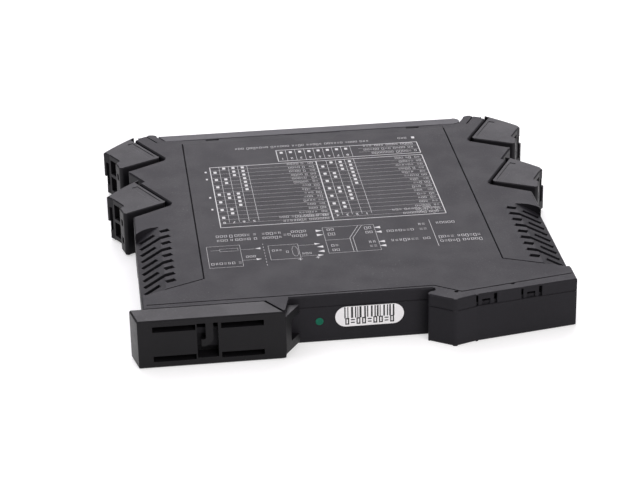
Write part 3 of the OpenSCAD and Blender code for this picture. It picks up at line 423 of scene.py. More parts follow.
@dataclass(frozen=True)
class MouldedPlastic:
    """Moulded plastic with a textured skin, rubbed edges and a trace of dust.

    Where engraved is given, flat floors at that height in millimetres, the floors of the grooves, are made
    dull and get painted shade, a darker colour for the shade in the grooves. The fields mottle, rubbed and
    sunk say how bright the skin's clouds, the edges and those shaded floors are beside the colour.
    """

    name: str
    colour: RGB
    roughness: float
    grade: Grade = Grade.ERODED
    wear: float = 0.6
    dust: float = 0.5
    specular: float = 0.13
    engraved: float = 0.0
    mottle: Spot = (0.86, 1.16)
    rubbed: float = 1.8
    sunk: float = 0.3
    # sunk is how bright the painted shade on the groove floors is beside the colour.
    dust_tone: RGB = (0.32, 0.31, 0.3)
    dust_cover: float = 0.35
    gloss_spread: float = 0.05
    rubbed_gloss: float = 0.12
    handled_gloss: float = 0.05
    sunk_dulling: float = 0.42

    def build(self) -> Material:
        """Builds the material.

        Returns:
            The material.
        """
        surface = Surface(self.name)
        graph = surface.graph
        grain = surface.group("mould_grain", Grain=self.grade.value)
        edge = surface.group("edge_wear", Wear=self.wear)
        film = surface.group("dust_film", Amount=self.dust)
        # floor masks the groove floors that get painted shade.
        floor = surface.group("engraved_floor", Height=self.engraved * MM).outputs["Floor"]
        mottle, worn = grain.outputs["Mottle"], edge.outputs["Edge"]
        skin = surface.shades(mottle, self.colour, *self.mottle)
        skin = graph.mix(worn, skin, tinted(self.colour, self.rubbed))
        dusty = graph.mix(graph.times(film.outputs["Dust"], self.dust_cover), skin, self.dust_tone)
        low, high = self.roughness - self.gloss_spread, self.roughness + self.gloss_spread
        rough = graph.range(mottle, 0.0, 1.0, low, high)
        for mask, gloss in ((worn, self.rubbed_gloss), (film.outputs["Smear"], self.handled_gloss)):
            rough = graph.math("SUBTRACT", rough, graph.times(mask, gloss))
        dull = graph.times(floor, self.sunk_dulling)
        # Painted shade: the groove floors take the colour darkened to sunk, while dull raises their
        # roughness.
        surface.dress(graph.mix(floor, dusty, tinted(self.colour, self.sunk)),
                      graph.math("ADD", rough, dull, clamp=True), Specular_IOR_Level=self.specular)
        surface.bump(grain.outputs["Height"], 0.012, 0.75, edge.outputs["Normal"])
        return surface.material


@dataclass(frozen=True)
class PlatedMetal:
    """Small metal part with thin plating, drawn lines and darker clouds."""

    name: str
    colour: RGB
    roughness: float = 0.34
    depth: float = 1.0
    clouded: float = 0.82
    rubbed: float = 1.25

    def build(self) -> Material:
        """Builds the material.

        Returns:
            The material.
        """
        surface = Surface(self.name)
        graph = surface.graph
        metal = surface.group("drawn_metal", Depth=self.depth)
        edge = surface.group("edge_wear", Wear=1.0)
        cloud = metal.outputs["Cloud"]
        plating = surface.shades(cloud, self.colour, self.clouded)
        surface.dress(graph.mix(edge.outputs["Edge"], plating, tinted(self.colour, self.rubbed)),
                      graph.range(cloud, 0.0, 1.0, self.roughness + 0.1, self.roughness - 0.05), Metallic=1.0)
        surface.bump(metal.outputs["Height"], 0.01, 0.4, edge.outputs["Normal"])
        return surface.material


@dataclass(frozen=True)
class PrintInk:
    """Thin printed ink with slightly uneven cover."""

    name: str
    colour: RGB
    ground: RGB
    roughness: float = 0.55
    thinnest: float = 0.72

    def build(self) -> Material:
        """Builds the material.

        Returns:
            The material.
        """
        surface = Surface(self.name)
        graph = surface.graph
        cover = graph.range(graph.noise(0.25, detail=3.0, rough=0.7), 0.3, 0.6, self.thinnest, 1.0)
        surface.dress(graph.mix(cover, self.ground, self.colour),
                      graph.range(cover, 0.7, 1.0, self.roughness + 0.1, self.roughness))
        surface.bump(graph.noise(0.15, detail=2.0), 0.004, 0.4)
        return surface.material


@dataclass(frozen=True)
class PrintedFilm:
    """White label film with a soft sheen and faint paper fibres."""

    name: str
    colour: RGB
    fibre_tone: float = 0.95
    edge_tone: float = 0.7
    sheen: Spot = (0.42, 0.34)

    def build(self) -> Material:
        """Builds the material.

        Returns:
            The material.
        """
        surface = Surface(self.name)
        graph = surface.graph
        edge = surface.group("edge_wear", Wear=0.5)
        fibre = graph.range(graph.noise(0.3, detail=5.0, rough=0.7), 0.3, 0.7)
        base = surface.shades(fibre, self.colour, self.fibre_tone)
        rim = graph.times(edge.outputs["Edge"], 0.5)
        surface.dress(graph.mix(rim, base, tinted(self.colour, self.edge_tone)),
                      graph.range(fibre, 0.0, 1.0, *self.sheen))
        surface.bump(fibre, 0.006, 0.3, edge.outputs["Normal"])
        return surface.material


@dataclass(frozen=True)
class Laminate:
    """Circuit board with solder resist over a woven laminate."""

    name: str
    colour: RGB
    yarn: float = 0.5
    tracks: Spot = (0.75, 1.3)
    cloth_tone: float = 1.6
    sheen: Spot = (0.3, 0.42)

    def build(self) -> Material:
        """Builds the material.

        Returns:
            The material.
        """
        surface = Surface(self.name)
        graph = surface.graph
        warp, weft = (surface.wave(axis, self.yarn).outputs["Fac"] for axis in "XY")
        cloth = graph.times(warp, weft)
        track = graph.range(graph.noise(2.5, detail=0.0), 0.48, 0.52)
        base = surface.shades(track, self.colour, *self.tracks)
        cover = graph.times(cloth, 0.25)
        surface.dress(graph.mix(cover, base, tinted(self.colour, self.cloth_tone)),
                      graph.range(cloth, 0.0, 1.0, *self.sheen))
        surface.bump(graph.math("ADD", cloth, track), 0.02, 0.4)
        return surface.material


@dataclass(frozen=True)
class Coated:
    """Glossy moulded, lacquered or sleeved part with faint clouds."""

    name: str
    colour: RGB
    roughness: float
    cloud_size: float = 0.8
    coat: float = 0.25
    specular: float = 0.5
    clouds: Spot = (0.88, 1.06)
    rubbed: float = 1.5

    def build(self) -> Material:
        """Builds the material.

        Returns:
            The material.
        """
        surface = Surface(self.name)
        graph = surface.graph
        edge = surface.group("edge_wear", Wear=0.4)
        cloud = graph.range(graph.noise(self.cloud_size, detail=4.0, rough=0.6), 0.3, 0.7)
        base = surface.shades(cloud, self.colour, *self.clouds)
        surface.dress(graph.mix(edge.outputs["Edge"], base, tinted(self.colour, self.rubbed)),
                      graph.range(cloud, 0.0, 1.0, self.roughness + 0.06, self.roughness - 0.02),
                      Coat_Weight=self.coat, Specular_IOR_Level=self.specular)
        surface.bump(graph.noise(0.2, detail=2.0), 0.004, 0.3, edge.outputs["Normal"])
        return surface.material


@dataclass(frozen=True)
class WoundTape:
    """Winding under layers of thin tape, with the lap lines across the coil."""

    name: str
    colour: RGB
    lap: float = 0.9
    lap_tone: float = 0.7
    sheen: Spot = (0.32, 0.22)

    def build(self) -> Material:
        """Builds the material.

        Returns:
            The material.
        """
        surface = Surface(self.name)
        laps = surface.wave("Y", self.lap)
        laps.inputs["Distortion"].default_value = 0.6
        line = laps.outputs["Fac"]
        surface.dress(surface.shades(line, self.colour, self.lap_tone),
                      surface.graph.range(line, 0.0, 1.0, *self.sheen))
        surface.bump(line, 0.05, 0.5)
        return surface.material


Finish = MouldedPlastic | PlatedMetal | PrintInk | PrintedFilm | Laminate | Coated | WoundTape

BLACK = (0.0142, 0.0136, 0.0165)
PANEL_WHITE = (0.56, 0.56, 0.56)

FINISHES: dict[str, Finish] = {
    # The housing's groove floors at 12.25 mm get painted shade through engraved.
    "housing": MouldedPlastic("housing_black", BLACK, 0.52, engraved=12.25),
    "foot": MouldedPlastic("foot_black", (0.0085, 0.0082, 0.0094), 0.4, wear=0.8, specular=0.15),
    "flap": MouldedPlastic("flap_dark_grey", (0.046, 0.0455, 0.051), 0.42, Grade.SATIN),
    "plug": MouldedPlastic("plug_black", (0.0138, 0.0134, 0.0156), 0.44, Grade.SATIN, wear=0.7),
    "socket": MouldedPlastic("socket_black", (0.02, 0.02, 0.02), 0.4, Grade.SMOOTH, dust=0.0),
    "contact": PlatedMetal("tinned_contact", (0.78, 0.7, 0.52)),
    "pin": PlatedMetal("tinned_pin", (0.76, 0.74, 0.68), roughness=0.28),
    "screw": PlatedMetal("zinc_screw", (0.66, 0.66, 0.64), roughness=0.36, depth=1.4),
    "cage": PlatedMetal("zinc_cage", (0.6, 0.59, 0.55), roughness=0.4),
    "board": Laminate("green_board", (0.02, 0.12, 0.05)),
    "ferrite": MouldedPlastic("ferrite_grey", (0.05, 0.05, 0.055), 0.62, wear=0.3, dust=0.0),
    "winding": WoundTape("yellow_tape", (0.72, 0.5, 0.08)),
    "capacitor": Coated("capacitor_sleeve", (0.02, 0.022, 0.05), 0.3),
    "chip": MouldedPlastic("chip_black", (0.02, 0.02, 0.02), 0.55, Grade.SATIN, dust=0.0),
    "light": Coated("green_light", (0.12, 0.5, 0.18), 0.2),
    "switch": Coated("red_switch", (0.42, 0.035, 0.025), 0.38),
    "slider": Coated("white_slider", (0.78, 0.78, 0.75), 0.35, cloud_size=0.5),
    "label": PrintedFilm("white_film", (0.86, 0.86, 0.87)),
    "dot": Coated("green_paint", (0.006, 0.118, 0.07), 0.5, cloud_size=0.4, coat=0.0, specular=0.15),
}

INKS: dict[Ink, PrintInk] = {
    Ink.PANEL: PrintInk("panel_print", PANEL_WHITE, (0.2, 0.2, 0.2)),
    Ink.LABEL: PrintInk("label_print", (0.008, 0.008, 0.010), (0.03, 0.03, 0.03)),
    Ink.SWITCH: PrintInk("switch_print", (0.8, 0.8, 0.78), (0.5, 0.2, 0.18), 0.5),
}


# --- modelling helpers


def clear_selection() -> None:
    """Leaves edit mode and deselects every object."""
    if bpy.context.object and bpy.context.object.mode != "OBJECT":
        bpy.ops.object.mode_set(mode="OBJECT")
    bpy.ops.object.select_all(action="DESELECT")


def in_edit_mode(piece: Piece, steps: Callable[[], None]) -> None:
    """Runs modelling steps in edit mode with everything selected.

    Args:
        piece: The mesh object to edit.
        steps: The operators to run.
    """
    clear_selection()
    piece.select_set(True)
    bpy.context.view_layer.objects.active = piece
    bpy.ops.object.mode_set(mode="EDIT")
    bpy.ops.mesh.select_all(action="SELECT")
    steps()
    bpy.ops.object.mode_set(mode="OBJECT")
    piece.select_set(False)


def joined(parts: list[Piece], name: str) -> Piece:
    """Joins several mesh objects to one piece.

    Args:
        parts: The objects to join.
        name: Name of the result.

    Returns:
        The joined object.
    """
    clear_selection()
    for part in parts:
        part.select_set(True)
    bpy.context.view_layer.objects.active = parts[0]
    bpy.ops.object.join()
    piece = bpy.context.object
    piece.name = piece.data.name = name
    piece.select_set(False)
    return piece


@dataclass
class Stamp:
    """A thin printed mark that is modelled once and copied to many places."""

    thickness: float = 0.02
    rounding: float = 0.0
    pointed: bool = False

    def __post_init__(self) -> None:
        """Models the mark as a closed slab of unit size, square or pointed along +Y."""
        clear_selection()
        if self.pointed:
            bpy.ops.mesh.primitive_circle_add(vertices=3, radius=2.0 / 3.0, fill_type="NGON")
        else:
            bpy.ops.mesh.primitive_plane_add(size=1.0, location=(0.0, 0.0, 0.0))
        self.template = bpy.context.object
        in_edit_mode(self.template, self.thicken)

    def thicken(self) -> None:
        """Rounds the corners and raises the face."""
        if self.rounding > 0.0:
            bpy.ops.mesh.bevel(offset=self.rounding, segments=2, affect="VERTICES")
        bpy.ops.mesh.extrude_region_move(TRANSFORM_OT_translate={"value": (0.0, 0.0, 1.0)})
        bpy.ops.mesh.select_all(action="SELECT")
        bpy.ops.mesh.fill_holes(sides=0)
        bpy.ops.mesh.normals_make_consistent(inside=False)

    def place(self, centre: Spot, size: Spot, turn: float = 0.0) -> Piece:
        """Copies the mark to a place on a flat face.

        Args:
            centre: Middle of the mark in millimetres.
            size: Its length and width in millimetres.
            turn: Its turn in degrees.

        Returns:
            The copy, with its own mesh.
        """
        copy = self.template.copy()
        copy.data = self.template.data.copy()
        bpy.context.scene.collection.objects.link(copy)
        move = Matrix.Translation((centre[0] * MM, centre[1] * MM, 0.0))
        spin = Matrix.Rotation(math.radians(turn), 4, "Z")
        scale = Matrix.Diagonal((size[0] * MM, size[1] * MM, self.thickness * MM, 1.0))
        copy.data.transform(move @ spin @ scale)
        return copy

    def discard(self) -> None:
        """Deletes the template."""
        bpy.data.objects.remove(self.template, do_unlink=True)


@dataclass
class MarkRow:
    """Rows of small boxes, ticks and dashes that stand where a real part has words, and form no letters.

    The weight, the cell of one mark and the gap after it are shares of the height of the row. Each mark is
    a set of strokes in its cell, from (0, 0) at the foot to (1, 1).
    """

    seed: int
    weight: float = 0.072
    cell: float = 0.42
    gap: float = 0.26
    run_length: tuple[int, int] = (3, 7)
    run_gap: float = 2.6
    slab: Stamp = field(default_factory=Stamp)
    marks: tuple[tuple[tuple[float, float, float, float], ...], ...] = (
        ((0.0, 0.0, 0.0, 0.72), (1.0, 0.0, 1.0, 0.72), (0.0, 0.0, 1.0, 0.0), (0.0, 0.72, 1.0, 0.72)),
        ((0.0, 0.0, 0.0, 1.0), (1.0, 0.0, 1.0, 1.0), (0.0, 0.0, 1.0, 0.0), (0.0, 1.0, 1.0, 1.0)),
        ((0.0, 0.15, 1.0, 0.15), (0.0, 0.6, 1.0, 0.6)),
        ((0.2, 0.0, 0.2, 0.72), (0.8, 0.0, 0.8, 0.72)),
    )
    shares: tuple[int, ...] = (5, 2, 2, 2)

    def __post_init__(self) -> None:
        """Starts the random order of the marks."""
        self.chance = random.Random(self.seed)

    def stroke(self, start: Spot, end: Spot, width: float) -> Piece:
        """Draws one straight stroke.

        Args:
            start: Where it starts.
            end: Where it ends.
            width: Its width.

        Returns:
            The stroke.
        """
        dx, dy = end[0] - start[0], end[1] - start[1]
        centre = ((start[0] + end[0]) / 2, (start[1] + end[1]) / 2)
        return self.slab.place(centre, (math.hypot(dx, dy) + width, width), math.degrees(math.atan2(dy, dx)))

    def run(self, x0: float, x1: float, y: float, height: float) -> list[Piece]:
        """Draws one row, with its foot towards the front wall.

        Args:
            x0: Where the row starts.
            x1: Where it ends.
            y: Its middle across.
            height: Its height.

        Returns:
            The strokes of the row.
        """
        parts: list[Piece] = []
        wide, foot, left = self.cell * height, y + height / 2, self.chance.randint(*self.run_length)
        while x0 < x1 - wide / 2:
            for u0, v0, u1, v1 in self.chance.choices(self.marks, self.shares)[0]:
                start, end = (x0 + u0 * wide, foot - v0 * height), (x0 + u1 * wide, foot - v1 * height)
                parts.append(self.stroke(start, end, self.weight * height))
            left -= 1
            x0 += wide + self.gap * height * (1.0 if left else self.run_gap)
            left = left or self.chance.randint(*self.run_length)
        return parts


CAPITAL_SHARE = 0.7


def numeral(text: str, height: float, thickness: float) -> Piece:
    """Makes a numeral or a short generic word as a thin mesh.

    Args:
        text: What it reads.
        height: Height of a capital in millimetres.
        thickness: Thickness of the ink in millimetres.

    Returns:
        The mesh object, centred on the origin and facing up.
    """
    clear_selection()
    bpy.ops.object.text_add(location=(0.0, 0.0, 0.0))
    words = bpy.context.object
    words.data.body = text
    words.data.align_x = "CENTER"
    words.data.align_y = "CENTER"
    words.data.size = height * MM / CAPITAL_SHARE
    words.data.extrude = thickness * MM / 2
    words.data.resolution_u = 2
    words.select_set(True)
    bpy.ops.object.convert(target="MESH")
    piece = bpy.context.object
    piece.data.transform(Matrix.Translation((0.0, 0.0, thickness * MM / 2)))
    piece.select_set(False)
    return piece


def finish_piece(piece: Piece, material: Material, body: str) -> None:
    """Dresses a new piece and ties it to its body.

    Args:
        piece: The piece.
        material: Its material.
        body: The body that it rides on.
    """
    piece.data.materials.clear()
    piece.data.materials.append(material)
    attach(piece, body)
    LOG.info("%s rides on %s with %d faces", piece.name, body, len(piece.data.polygons))


# --- sub-assemblies


@dataclass
class SolidParts:
    """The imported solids, which keep their shapes and get their finishes."""

    materials: dict[str, Material] = field(default_factory=dict)

    def dress(self) -> None:
        """Gives each solid the finish of its slot in the record."""
        for entry in frame["record"]["subparts"]:
            node, slot = frame["nodes"][entry["node"]], entry["material_slot"]
            if slot not in self.materials:
                self.materials[slot] = FINISHES[slot].build()
            if not node.material_slots:
                node.data.materials.append(self.materials[slot])
            for place in node.material_slots:
                place.material = self.materials[slot]
            LOG.info("%s is dressed as %s", node.name, slot)


@dataclass
class PrintedPanel:
    """The white print on the upper side face: switch tables and two circuit sketches.

    Places are in millimetres, x from the middle and y from the outer face of the rail foot. A row of marks is
    given by where it starts, where it ends and its middle across.
    """

    HEADINGS = ((-15.0, -2.4, 52.9), (-14.2, -2.2, 50.5), (14.3, 26.7, 52.9), (16.8, 26.8, 50.5))
    OPTION_TEXT = ((12.6, 26.4, 96.1), (12.5, 26.4, 93.5), (14.4, 26.4, 90.9), (-22.5, 15.3, 99.6),
                   (22.9, 25.2, 100.1))
    OPTION_LINES = (92.2, 94.7)
    SIDE_MARKS = (84.9, 80.1, 68.1, 60.5)
    BOXES = (((-5.0, 29.9), (8.1, 45.0)), ((-34.9, 25.9), (-26.6, 38.1)), ((-19.6, 28.3), (-12.2, 36.5)))
    SHUNT = ((-31.7, 34.9), (-27.2, 36.4))
    COIL = ((-13.5, 35.3), (-13.9, 33.6), (-13.9, 31.0), (-13.4, 29.6), (-12.9, 29.6), (-12.5, 31.0),
            (-12.5, 33.6), (-12.9, 35.3))
    LEADS = ((-34.0, -31.7, 35.7), (-26.6, -23.0, 35.3), (-26.6, -23.3, 29.2), (-12.2, -8.2, 35.5),
             (-12.2, -8.0, 29.3))
    LEAD_ENDS = ((-8.0, 35.8, 1, 1.4), (-7.8, 29.2, 1, 1.4), (-21.6, 35.4, -1, 1.3), (-23.1, 29.3, 1, 1.3))
    CROSSES = ((-12.4, 27.7), (-8.0, 28.1))
    BARRIERS = (((4.2, 45.0), (1.2, 38.0)), ((5.15, 45.0), (2.0075, 38.0)))
    TERMINALS = (((43.4, 40.9), -6.8, 1, (-3.9, -2.5)), ((34.0, 31.4), -6.0, -1, (-3.9, -2.5)),
                 ((43.1, 40.4, 34.7, 32.3), 9.6, -1, (5.6, 7.1)))
    OUTPUT_TEXT = ((11.0, 18.2, 40.3), (19.4, 20.8, 40.3), (19.4, 20.8, 43.2), (11.3, 18.2, 34.7),
                   (19.4, 21.0, 34.7), (24.0, 28.7, 43.3), (23.4, 34.2, 35.0), (23.4, 34.2, 32.5))
    INPUT_SPANS = ((-32.0, -29.3), (-28.6, -28.2), (-27.3, -22.0), (-20.4, -16.0), (-13.0, -8.7))
    INPUT_TEXT = ((-15.0, -13.5, 42.2), (-34.3, -27.2, 27.9))
    LEAD_TEXT = ((-25.5, -23.4, 30.9), (-18.8, -15.9, 33.4), (-15.4, -14.3, 32.2), (-11.6, -8.3, 30.6))

    frame_line: float = 0.22
    middle_line: float = 0.264
    cross_line: float = 0.16
    dash_line: float = 0.12
    double_line: float = 0.095
    thin_line: float = 0.085
    sketch_line: float = 0.066
    fine_line: float = 0.0561
    faint_line: float = 0.045
    left: float = -30.4
    middle: float = -1.5
    right: float = 27.6
    foot: float = 49.0
    head: float = 87.9
    first_row: float = 86.8
    row_step: float = 2.45
    rows_down: int = 15
    column_step: float = 2.52
    option_step: float = 2.55
    square: Spot = (0.82, 1.28)
    row_height: float = 1.3
    cell_height: float = 1.2
    sketch_height: float = 1.5
    sunk: float = 0.004
    seed: int = 7
    parts: list[Piece] = field(default_factory=list)

    def __post_init__(self) -> None:
        """Prepares the stamps and the rows of marks."""
        self.rows = MarkRow(self.seed)
        self.slab = self.rows.slab
        self.box = Stamp(rounding=0.12)
        self.arrow = Stamp(pointed=True)

    def line(self, start: Spot, end: Spot, width: float) -> None:
        """Prints a straight line from start to end."""
        self.parts.append(self.rows.stroke(start, end, width))

    def closed(self, corners: tuple[Spot, ...], width: float) -> None:
        """Prints a closed line through its corners."""
        for start, end in zip(corners, corners[1:] + corners[:1]):
            self.line(start, end, width)

    def outline(self, low: Spot, high: Spot, width: float) -> None:
        """Prints a rectangle's outline between two opposite corners."""
        self.closed((low, (high[0], low[1]), high, (low[0], high[1])), width)

    def mark(self, x: float, y: float) -> None:
        """Prints one filled square."""
        self.parts.append(self.box.place((x, y), self.square))

    def words(self, rows: Iterable[Triple], height: float) -> None:
        """Prints rows of small marks where the real part has words.

        Args:
            rows: The rows.
            height: Their height.
        """
        for x0, x1, y in rows:
            self.parts += self.rows.run(x0, x1, y, height)

    def figures(self, values: Iterable[int], xs: Iterable[float], y: float) -> None:
        """Prints plain numerals, upside down as seen from the rail side.

        Args:
            values: The numbers.
            xs: Their places along x.
            y: Their place along y.
        """
        for value, x in zip(values, xs):
            piece = numeral(str(value), self.cell_height, self.slab.thickness)
            turn = Matrix.Translation((x * MM, y * MM, 0.0)) @ Matrix.Rotation(math.pi, 4, "Z")
            piece.data.transform(turn)
            self.parts.append(piece)

    def pointer(self, x: float, y: float, sign: int, length: float = 1.6, width: float = 1.3) -> None:
        """Prints a small filled triangle.

        Args:
            x: Middle of its back.
            y: Its middle across.
            sign: 1 to point along +X and -1 to point along -X.
            length: Its length.
            width: Width of its back.
        """
        size = (width * math.sqrt(3.0) / 2.0, length)
        self.parts.append(self.arrow.place((x + sign * length / 3, y), size, -90.0 * sign))

    def switch_table(self, left: float, right: float, values: Spot, shift: Spot = (0.0, 0.0)) -> None:
        """Prints one of the two tables of switch settings, with a row for each code from 14 down to 0.

        Args:
            left: Left edge of the table.
            right: Right edge of the table.
            values: Where the column of values starts and ends.
            shift: How far its cells lie from their usual place.
        """
        start, end = values
        columns = [left + 1.2 + shift[0] + self.column_step * k for k in range(4)]
        for x in columns:
            self.line((x + 1.28, 87.8), (x + 1.28, 52.0), self.thin_line)
        for row in range(self.rows_down):
            y = self.first_row + shift[1] - row * self.row_step
            for bit, x in enumerate(columns):
                if (self.rows_down - 1 - row) >> bit & 1:
                    self.mark(x, y)
            self.line((left, y - self.row_step / 2), (right, y - self.row_step / 2), self.faint_line)
            inset = self.rows.chance.uniform(0.0, 1.2) + (2.0 if 6 <= row <= 12 else 0.0)
            self.words(((start + inset, end - 2.4, y), (end - 1.4, end - 0.3, y)), self.cell_height)

    def tables(self) -> None:
        """Prints the frame of the switch tables, both tables, their headings and the marks beside them."""
        self.outline((self.left, self.foot), (self.right, self.head), self.frame_line)
        self.line((self.middle, self.foot), (self.middle, self.head), self.middle_line)
        self.switch_table(self.left, self.middle, (-9.8, -2.4))
        self.switch_table(self.middle, self.right, (19.6, 26.8), (0.25, -0.45))
        self.figures((8, 7, 6, 5), (-29.2, -26.7, -24.2, -21.6), 51.9)
        self.figures((4, 3, 2, 1), (0.0, 2.5, 5.0, 7.5), 52.0)
        self.words(self.HEADINGS, self.row_height)
        for y in self.SIDE_MARKS:
            self.parts.append(self.slab.place((self.left - 1.3, y), (0.5, 0.9)))

    def option_table(self) -> None:
        """Prints the small table with its eight squares and numerals."""
        low, high = 89.3, 97.0
        self.outline((-11.5, low), (self.right, high), self.frame_line)
        places = [-10.2 + self.option_step * k for k in range(8)]
        for x in places:
            self.line((x + 1.27, low), (x + 1.27, high - 0.2), self.thin_line)
            self.mark(x, 95.2)
        self.figures(range(8, 0, -1), reversed(places), 91.0)
        for y in self.OPTION_LINES:
            self.line((11.0, y), (27.5, y), self.faint_line)
        self.words(self.OPTION_TEXT, self.row_height)
        self.mark(27.1, 100.2)

    def sketches(self) -> None:
        """Prints the sketches: the converter with its terminals, the supply box, the load box and leads."""
        for low, high in self.BOXES:
            self.outline(low, high, self.sketch_line)
        self.line((-5.0, 37.5), (1.1, 37.5), self.sketch_line)
        for top, bend in self.BARRIERS:
            self.line(top, bend, self.double_line)
            self.line(bend, (bend[0], 29.9), self.double_line)
        self.line((22.5, 29.9), (22.5, 45.6), self.double_line)
        for heights, back, sign, (x0, x1) in self.TERMINALS:
            for y in heights:
                self.pointer(back, y, sign)
                self.words(((x0, x1, y),), self.sketch_height)
        for back, y, sign, length in self.LEAD_ENDS:
            self.pointer(back, y, sign, length, 1.0)
        self.words(self.OUTPUT_TEXT, self.sketch_height)
        for y in (43.6, 41.1):
            self.words(((x0, x1, y) for x0, x1 in self.INPUT_SPANS), self.sketch_height)
        self.words(self.INPUT_TEXT, self.sketch_height)
        self.words(self.LEAD_TEXT, self.row_height)
        self.outline(*self.SHUNT, self.fine_line)
        self.closed(self.COIL, self.fine_line)
        for x0, x1, y in self.LEADS:
            self.line((x0, y), (x1, y), self.fine_line)
        for k in range(8):
            self.line((-20.8, 37.8 - 1.7 * k), (-20.8, 37.4 - 1.7 * k), self.dash_line)
        for x, y in self.CROSSES:
            self.line((x - 0.45, y), (x + 0.45, y), self.cross_line)
            self.line((x, y - 0.55), (x, y + 0.55), self.cross_line)

    def build(self) -> Piece:
        """Prints everything and lays it on the cover.

        Returns:
            The print as one piece.
        """
        self.tables()
        self.option_table()
        self.sketches()
        for stamp in (self.slab, self.box, self.arrow):
            stamp.discard()
        piece = joined(self.parts, "panel_print")
        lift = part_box("cover_shell")[1].z - self.sunk * MM
        piece.data.transform(Matrix.Translation((0.0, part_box("rail_foot")[0].y, lift)))
        finish_piece(piece, INKS[Ink.PANEL].build(), "module")
        return piece


@dataclass
class LabelPrint:
    """The black bars on the white label of the rail seat, with plain boxes and dashes below them."""

    side_margin: float = 2.2
    top_margin: float = 0.12
    foot_margin: float = 0.5
    bar_share: float = 0.56
    bar_widths: tuple[float, ...] = (0.22, 0.3, 0.4, 0.5)
    bar_gaps: tuple[float, ...] = (0.28, 0.45, 0.65)
    mark_size: Spot = (0.95, 1.75)
    mark_line: float = 0.3
    marks: int = 9
    thickness: float = 0.015
    sunk: float = 0.003
    seed: int = 4

    def mark(self, rows: MarkRow, x: float, y: float, hollow: bool) -> list[Piece]:
        """Prints one mark below the bars: a hollow box or two dashes.

        Args:
            rows: What draws its strokes.
            x: Its middle.
            y: Its middle across.
            hollow: Whether it is a box.

        Returns:
            The strokes of the mark.
        """
        half_w, half_h = (size / 2 - self.mark_line / 2 for size in self.mark_size)
        level = half_h if hollow else half_h / 2
        strokes = [((x - half_w, y + up), (x + half_w, y + up)) for up in (-level, level)]
        if hollow:
            strokes += [((x + out, y - half_h), (x + out, y + half_h)) for out in (-half_w, half_w)]
        return [rows.stroke(start, end, self.mark_line) for start, end in strokes]

    def build(self) -> Piece:
        """Prints the bars from the label's upper edge and the marks below, every third of them dashes.

        Returns:
            The print as one piece.
        """
        low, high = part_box("serial_label")
        middle, half = (low.z + high.z) / 2, (high.z - low.z) / 2 / MM
        rows = MarkRow(self.seed, slab=Stamp(thickness=self.thickness))
        start, end = low.x / MM + self.side_margin, high.x / MM - self.side_margin
        top, tall = half - self.top_margin, 2 * half * self.bar_share
        parts, x = [], start
        while x < end:
            width = rows.chance.choice(self.bar_widths)
            parts.append(rows.slab.place((x + width / 2, top - tall / 2), (width, tall)))
            x += width + rows.chance.choice(self.bar_gaps)
        step, level = (end - start) / self.marks, -half + self.foot_margin + self.mark_size[1] / 2
        for k in range(self.marks):
            parts += self.mark(rows, start + (k + 0.5) * step, level, k % 3 != 1)
        rows.slab.discard()
        piece = joined(parts, "label_print")
        upright = Matrix.Rotation(math.pi / 2, 4, "X")
        piece.data.transform(Matrix.Translation((0.0, low.y + self.sunk * MM, middle)) @ upright)
        finish_piece(piece, INKS[Ink.LABEL].build(), "module")
        return piece


@dataclass
class SwitchPrint:
    """The numerals and the word ON on the face of the small switch."""

    figure_height: float = 0.95
    figure_level: float = 0.85
    word_inset: Spot = (1.9, 0.75)
    thickness: float = 0.02
    sunk: float = 0.003

    def build(self) -> Piece:
        """Prints the numerals below the sliders and the word in the upper corner.

        Returns:
            The print as one piece.
        """
        low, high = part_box("dip_switch_body")
        word_x, word_z = high.x - self.word_inset[0] * MM, high.z - self.word_inset[1] * MM
        parts = []
        for k in range(8):
            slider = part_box(f"dip_slider_{k + 1}")
            middle = (slider[0].x + slider[1].x) / 2
            parts.append(self.standing(str(8 - k), middle, low.z + self.figure_level * MM, high.y))
        parts.append(self.standing("ON", word_x, word_z, high.y))
        piece = joined(parts, "switch_print")
        finish_piece(piece, INKS[Ink.SWITCH].build(), "module")
        return piece

    def standing(self, text: str, x: float, z: float, y: float) -> Piece:
        """Makes a mark that stands on the front face, readable from the front.

        Args:
            text: What it reads.
            x: Its place along x in metres.
            z: Its height in metres.
            y: Where the face is in metres.

        Returns:
            The mark.
        """
        piece = numeral(text, self.figure_height, self.thickness)
        upright = Matrix.Rotation(math.pi, 4, "Z") @ Matrix.Rotation(math.pi / 2, 4, "X")
        piece.data.transform(Matrix.Translation((x, y - self.sunk * MM, z)) @ upright)
        return piece


# --- studio


@dataclass(frozen=True)
class Softbox:
    """A square softbox that looks at the object, with its power in watts."""

    name: str
    place: Triple
    side: float
    power: float
    tint: RGB = (0.97, 0.935, 1.0)

    def hang(self) -> None:
        """Hangs the lamp in the scene."""
        light = bpy.data.lights.new(self.name, "AREA")
        light.size = self.side
        light.energy = self.power
        light.color = self.tint
        hung = bpy.data.objects.new(self.name, light)
        bpy.context.scene.collection.objects.link(hung)
        hung.location = self.place
        hung.rotation_euler = (-Vector(self.place)).to_track_quat("-Z", "Y").to_euler()


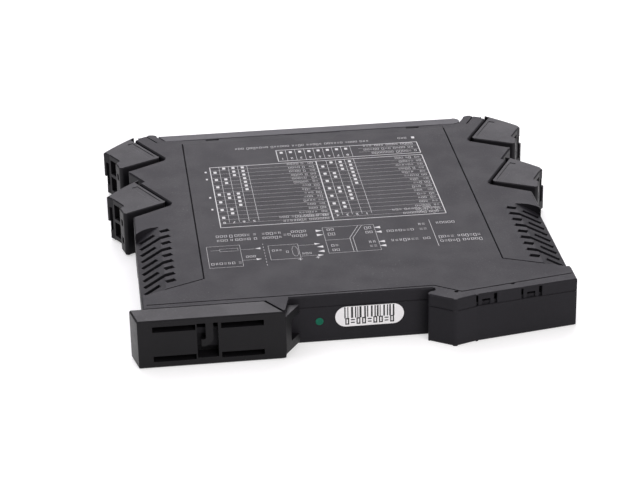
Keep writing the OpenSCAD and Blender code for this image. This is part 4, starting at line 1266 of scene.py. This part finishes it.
@dataclass
class Studio:
    """Pale floor, soft lights and the camera at the photograph's place."""

    floor_size: float = 9.0
    floor_drop: float = 0.00002
    floor_tones: Spot = (0.6, 0.62)
    floor_glow: float = 0.5
    softboxes: tuple[Softbox, ...] = (
        Softbox("back_softbox", (0.1, 1.45, 1.25), 1.8, 34.0),
        Softbox("top_softbox", (-0.4, 0.1, 1.4), 1.2, 10.0),
        Softbox("front_softbox", (0.75, -1.4, 0.8), 1.2, 19.0, (1.0, 0.95, 0.94)),
    )
    air_light: float = 0.3
    lens: float = 120.94
    camera_place: Triple = (-0.0604637, -0.4462819, 0.2424)
    camera_turn: Triple = (64.732577, 1.019157, -6.857343)

    def floor(self) -> None:
        """Lays the floor, which shows white and keeps the object's shadow."""
        clear_selection()
        bpy.ops.mesh.primitive_plane_add(size=self.floor_size, location=(0.0, 0.0, -self.floor_drop))
        ground = bpy.context.object
        ground.name = "floor"
        surface = Surface("pale_floor")
        graph = surface.graph
        clouds = graph.range(graph.noise(120.0, detail=3.0), 0.3, 0.7)
        dark, pale = ((tone, tone, tone) for tone in self.floor_tones)
        surface.dress(graph.mix(clouds, dark, pale), 0.9, Specular_IOR_Level=0.1)
        camera, glossy, through = (graph.add("ShaderNodeLightPath").outputs[f"Is {ray} Ray"]
                                   for ray in ("Camera", "Glossy", "Transmission"))
        direct = graph.math("ADD", camera, glossy, clamp=True)
        strength = graph.times(graph.math("ADD", direct, through, clamp=True), self.floor_glow)
        glow = graph.add("ShaderNodeEmission", {"Color": (1.0, 1.0, 1.0, 1.0), "Strength": strength})
        layers = {0: surface.shader.outputs["BSDF"], 1: glow.outputs["Emission"]}
        total = graph.add("ShaderNodeAddShader", layers)
        graph.join(total.outputs["Shader"], surface.output.inputs["Surface"])
        ground.data.materials.append(surface.material)

    def lights(self) -> None:
        """Hangs the softboxes and sets the even light around."""
        for softbox in self.softboxes:
            softbox.hang()
        world = bpy.data.worlds.new("studio_air")
        world.use_nodes = True
        back = world.node_tree.nodes["Background"]
        back.inputs["Color"].default_value = (1.0, 1.0, 1.0, 1.0)
        back.inputs["Strength"].default_value = self.air_light
        bpy.context.scene.world = world

    def camera(self) -> None:
        """Places the camera at the photograph's viewing angle."""
        data = bpy.data.cameras.new("camera")
        data.lens = self.lens
        data.sensor_width = 36.0
        data.clip_start = 0.01
        eye = bpy.data.objects.new("camera", data)
        bpy.context.scene.collection.objects.link(eye)
        x, y, z = self.camera_place
        eye.location = (x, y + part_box("rail_foot")[0].y, z)
        eye.rotation_euler = tuple(math.radians(a) for a in self.camera_turn)
        bpy.context.scene.camera = eye

    def build(self) -> None:
        """Sets up floor, lights, camera and the plain view transform."""
        self.floor()
        self.lights()
        self.camera()
        bpy.context.scene.view_settings.view_transform = "Standard"


def main() -> None:
    """Dresses the signal converter and sets up the studio."""
    logging.basicConfig(level=logging.INFO, format="%(name)s: %(message)s")
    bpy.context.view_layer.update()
    Studio().build()
    SolidParts().dress()
    PrintedPanel().build()
    LabelPrint().build()
    SwitchPrint().build()


if __name__ == "__main__":
    main()
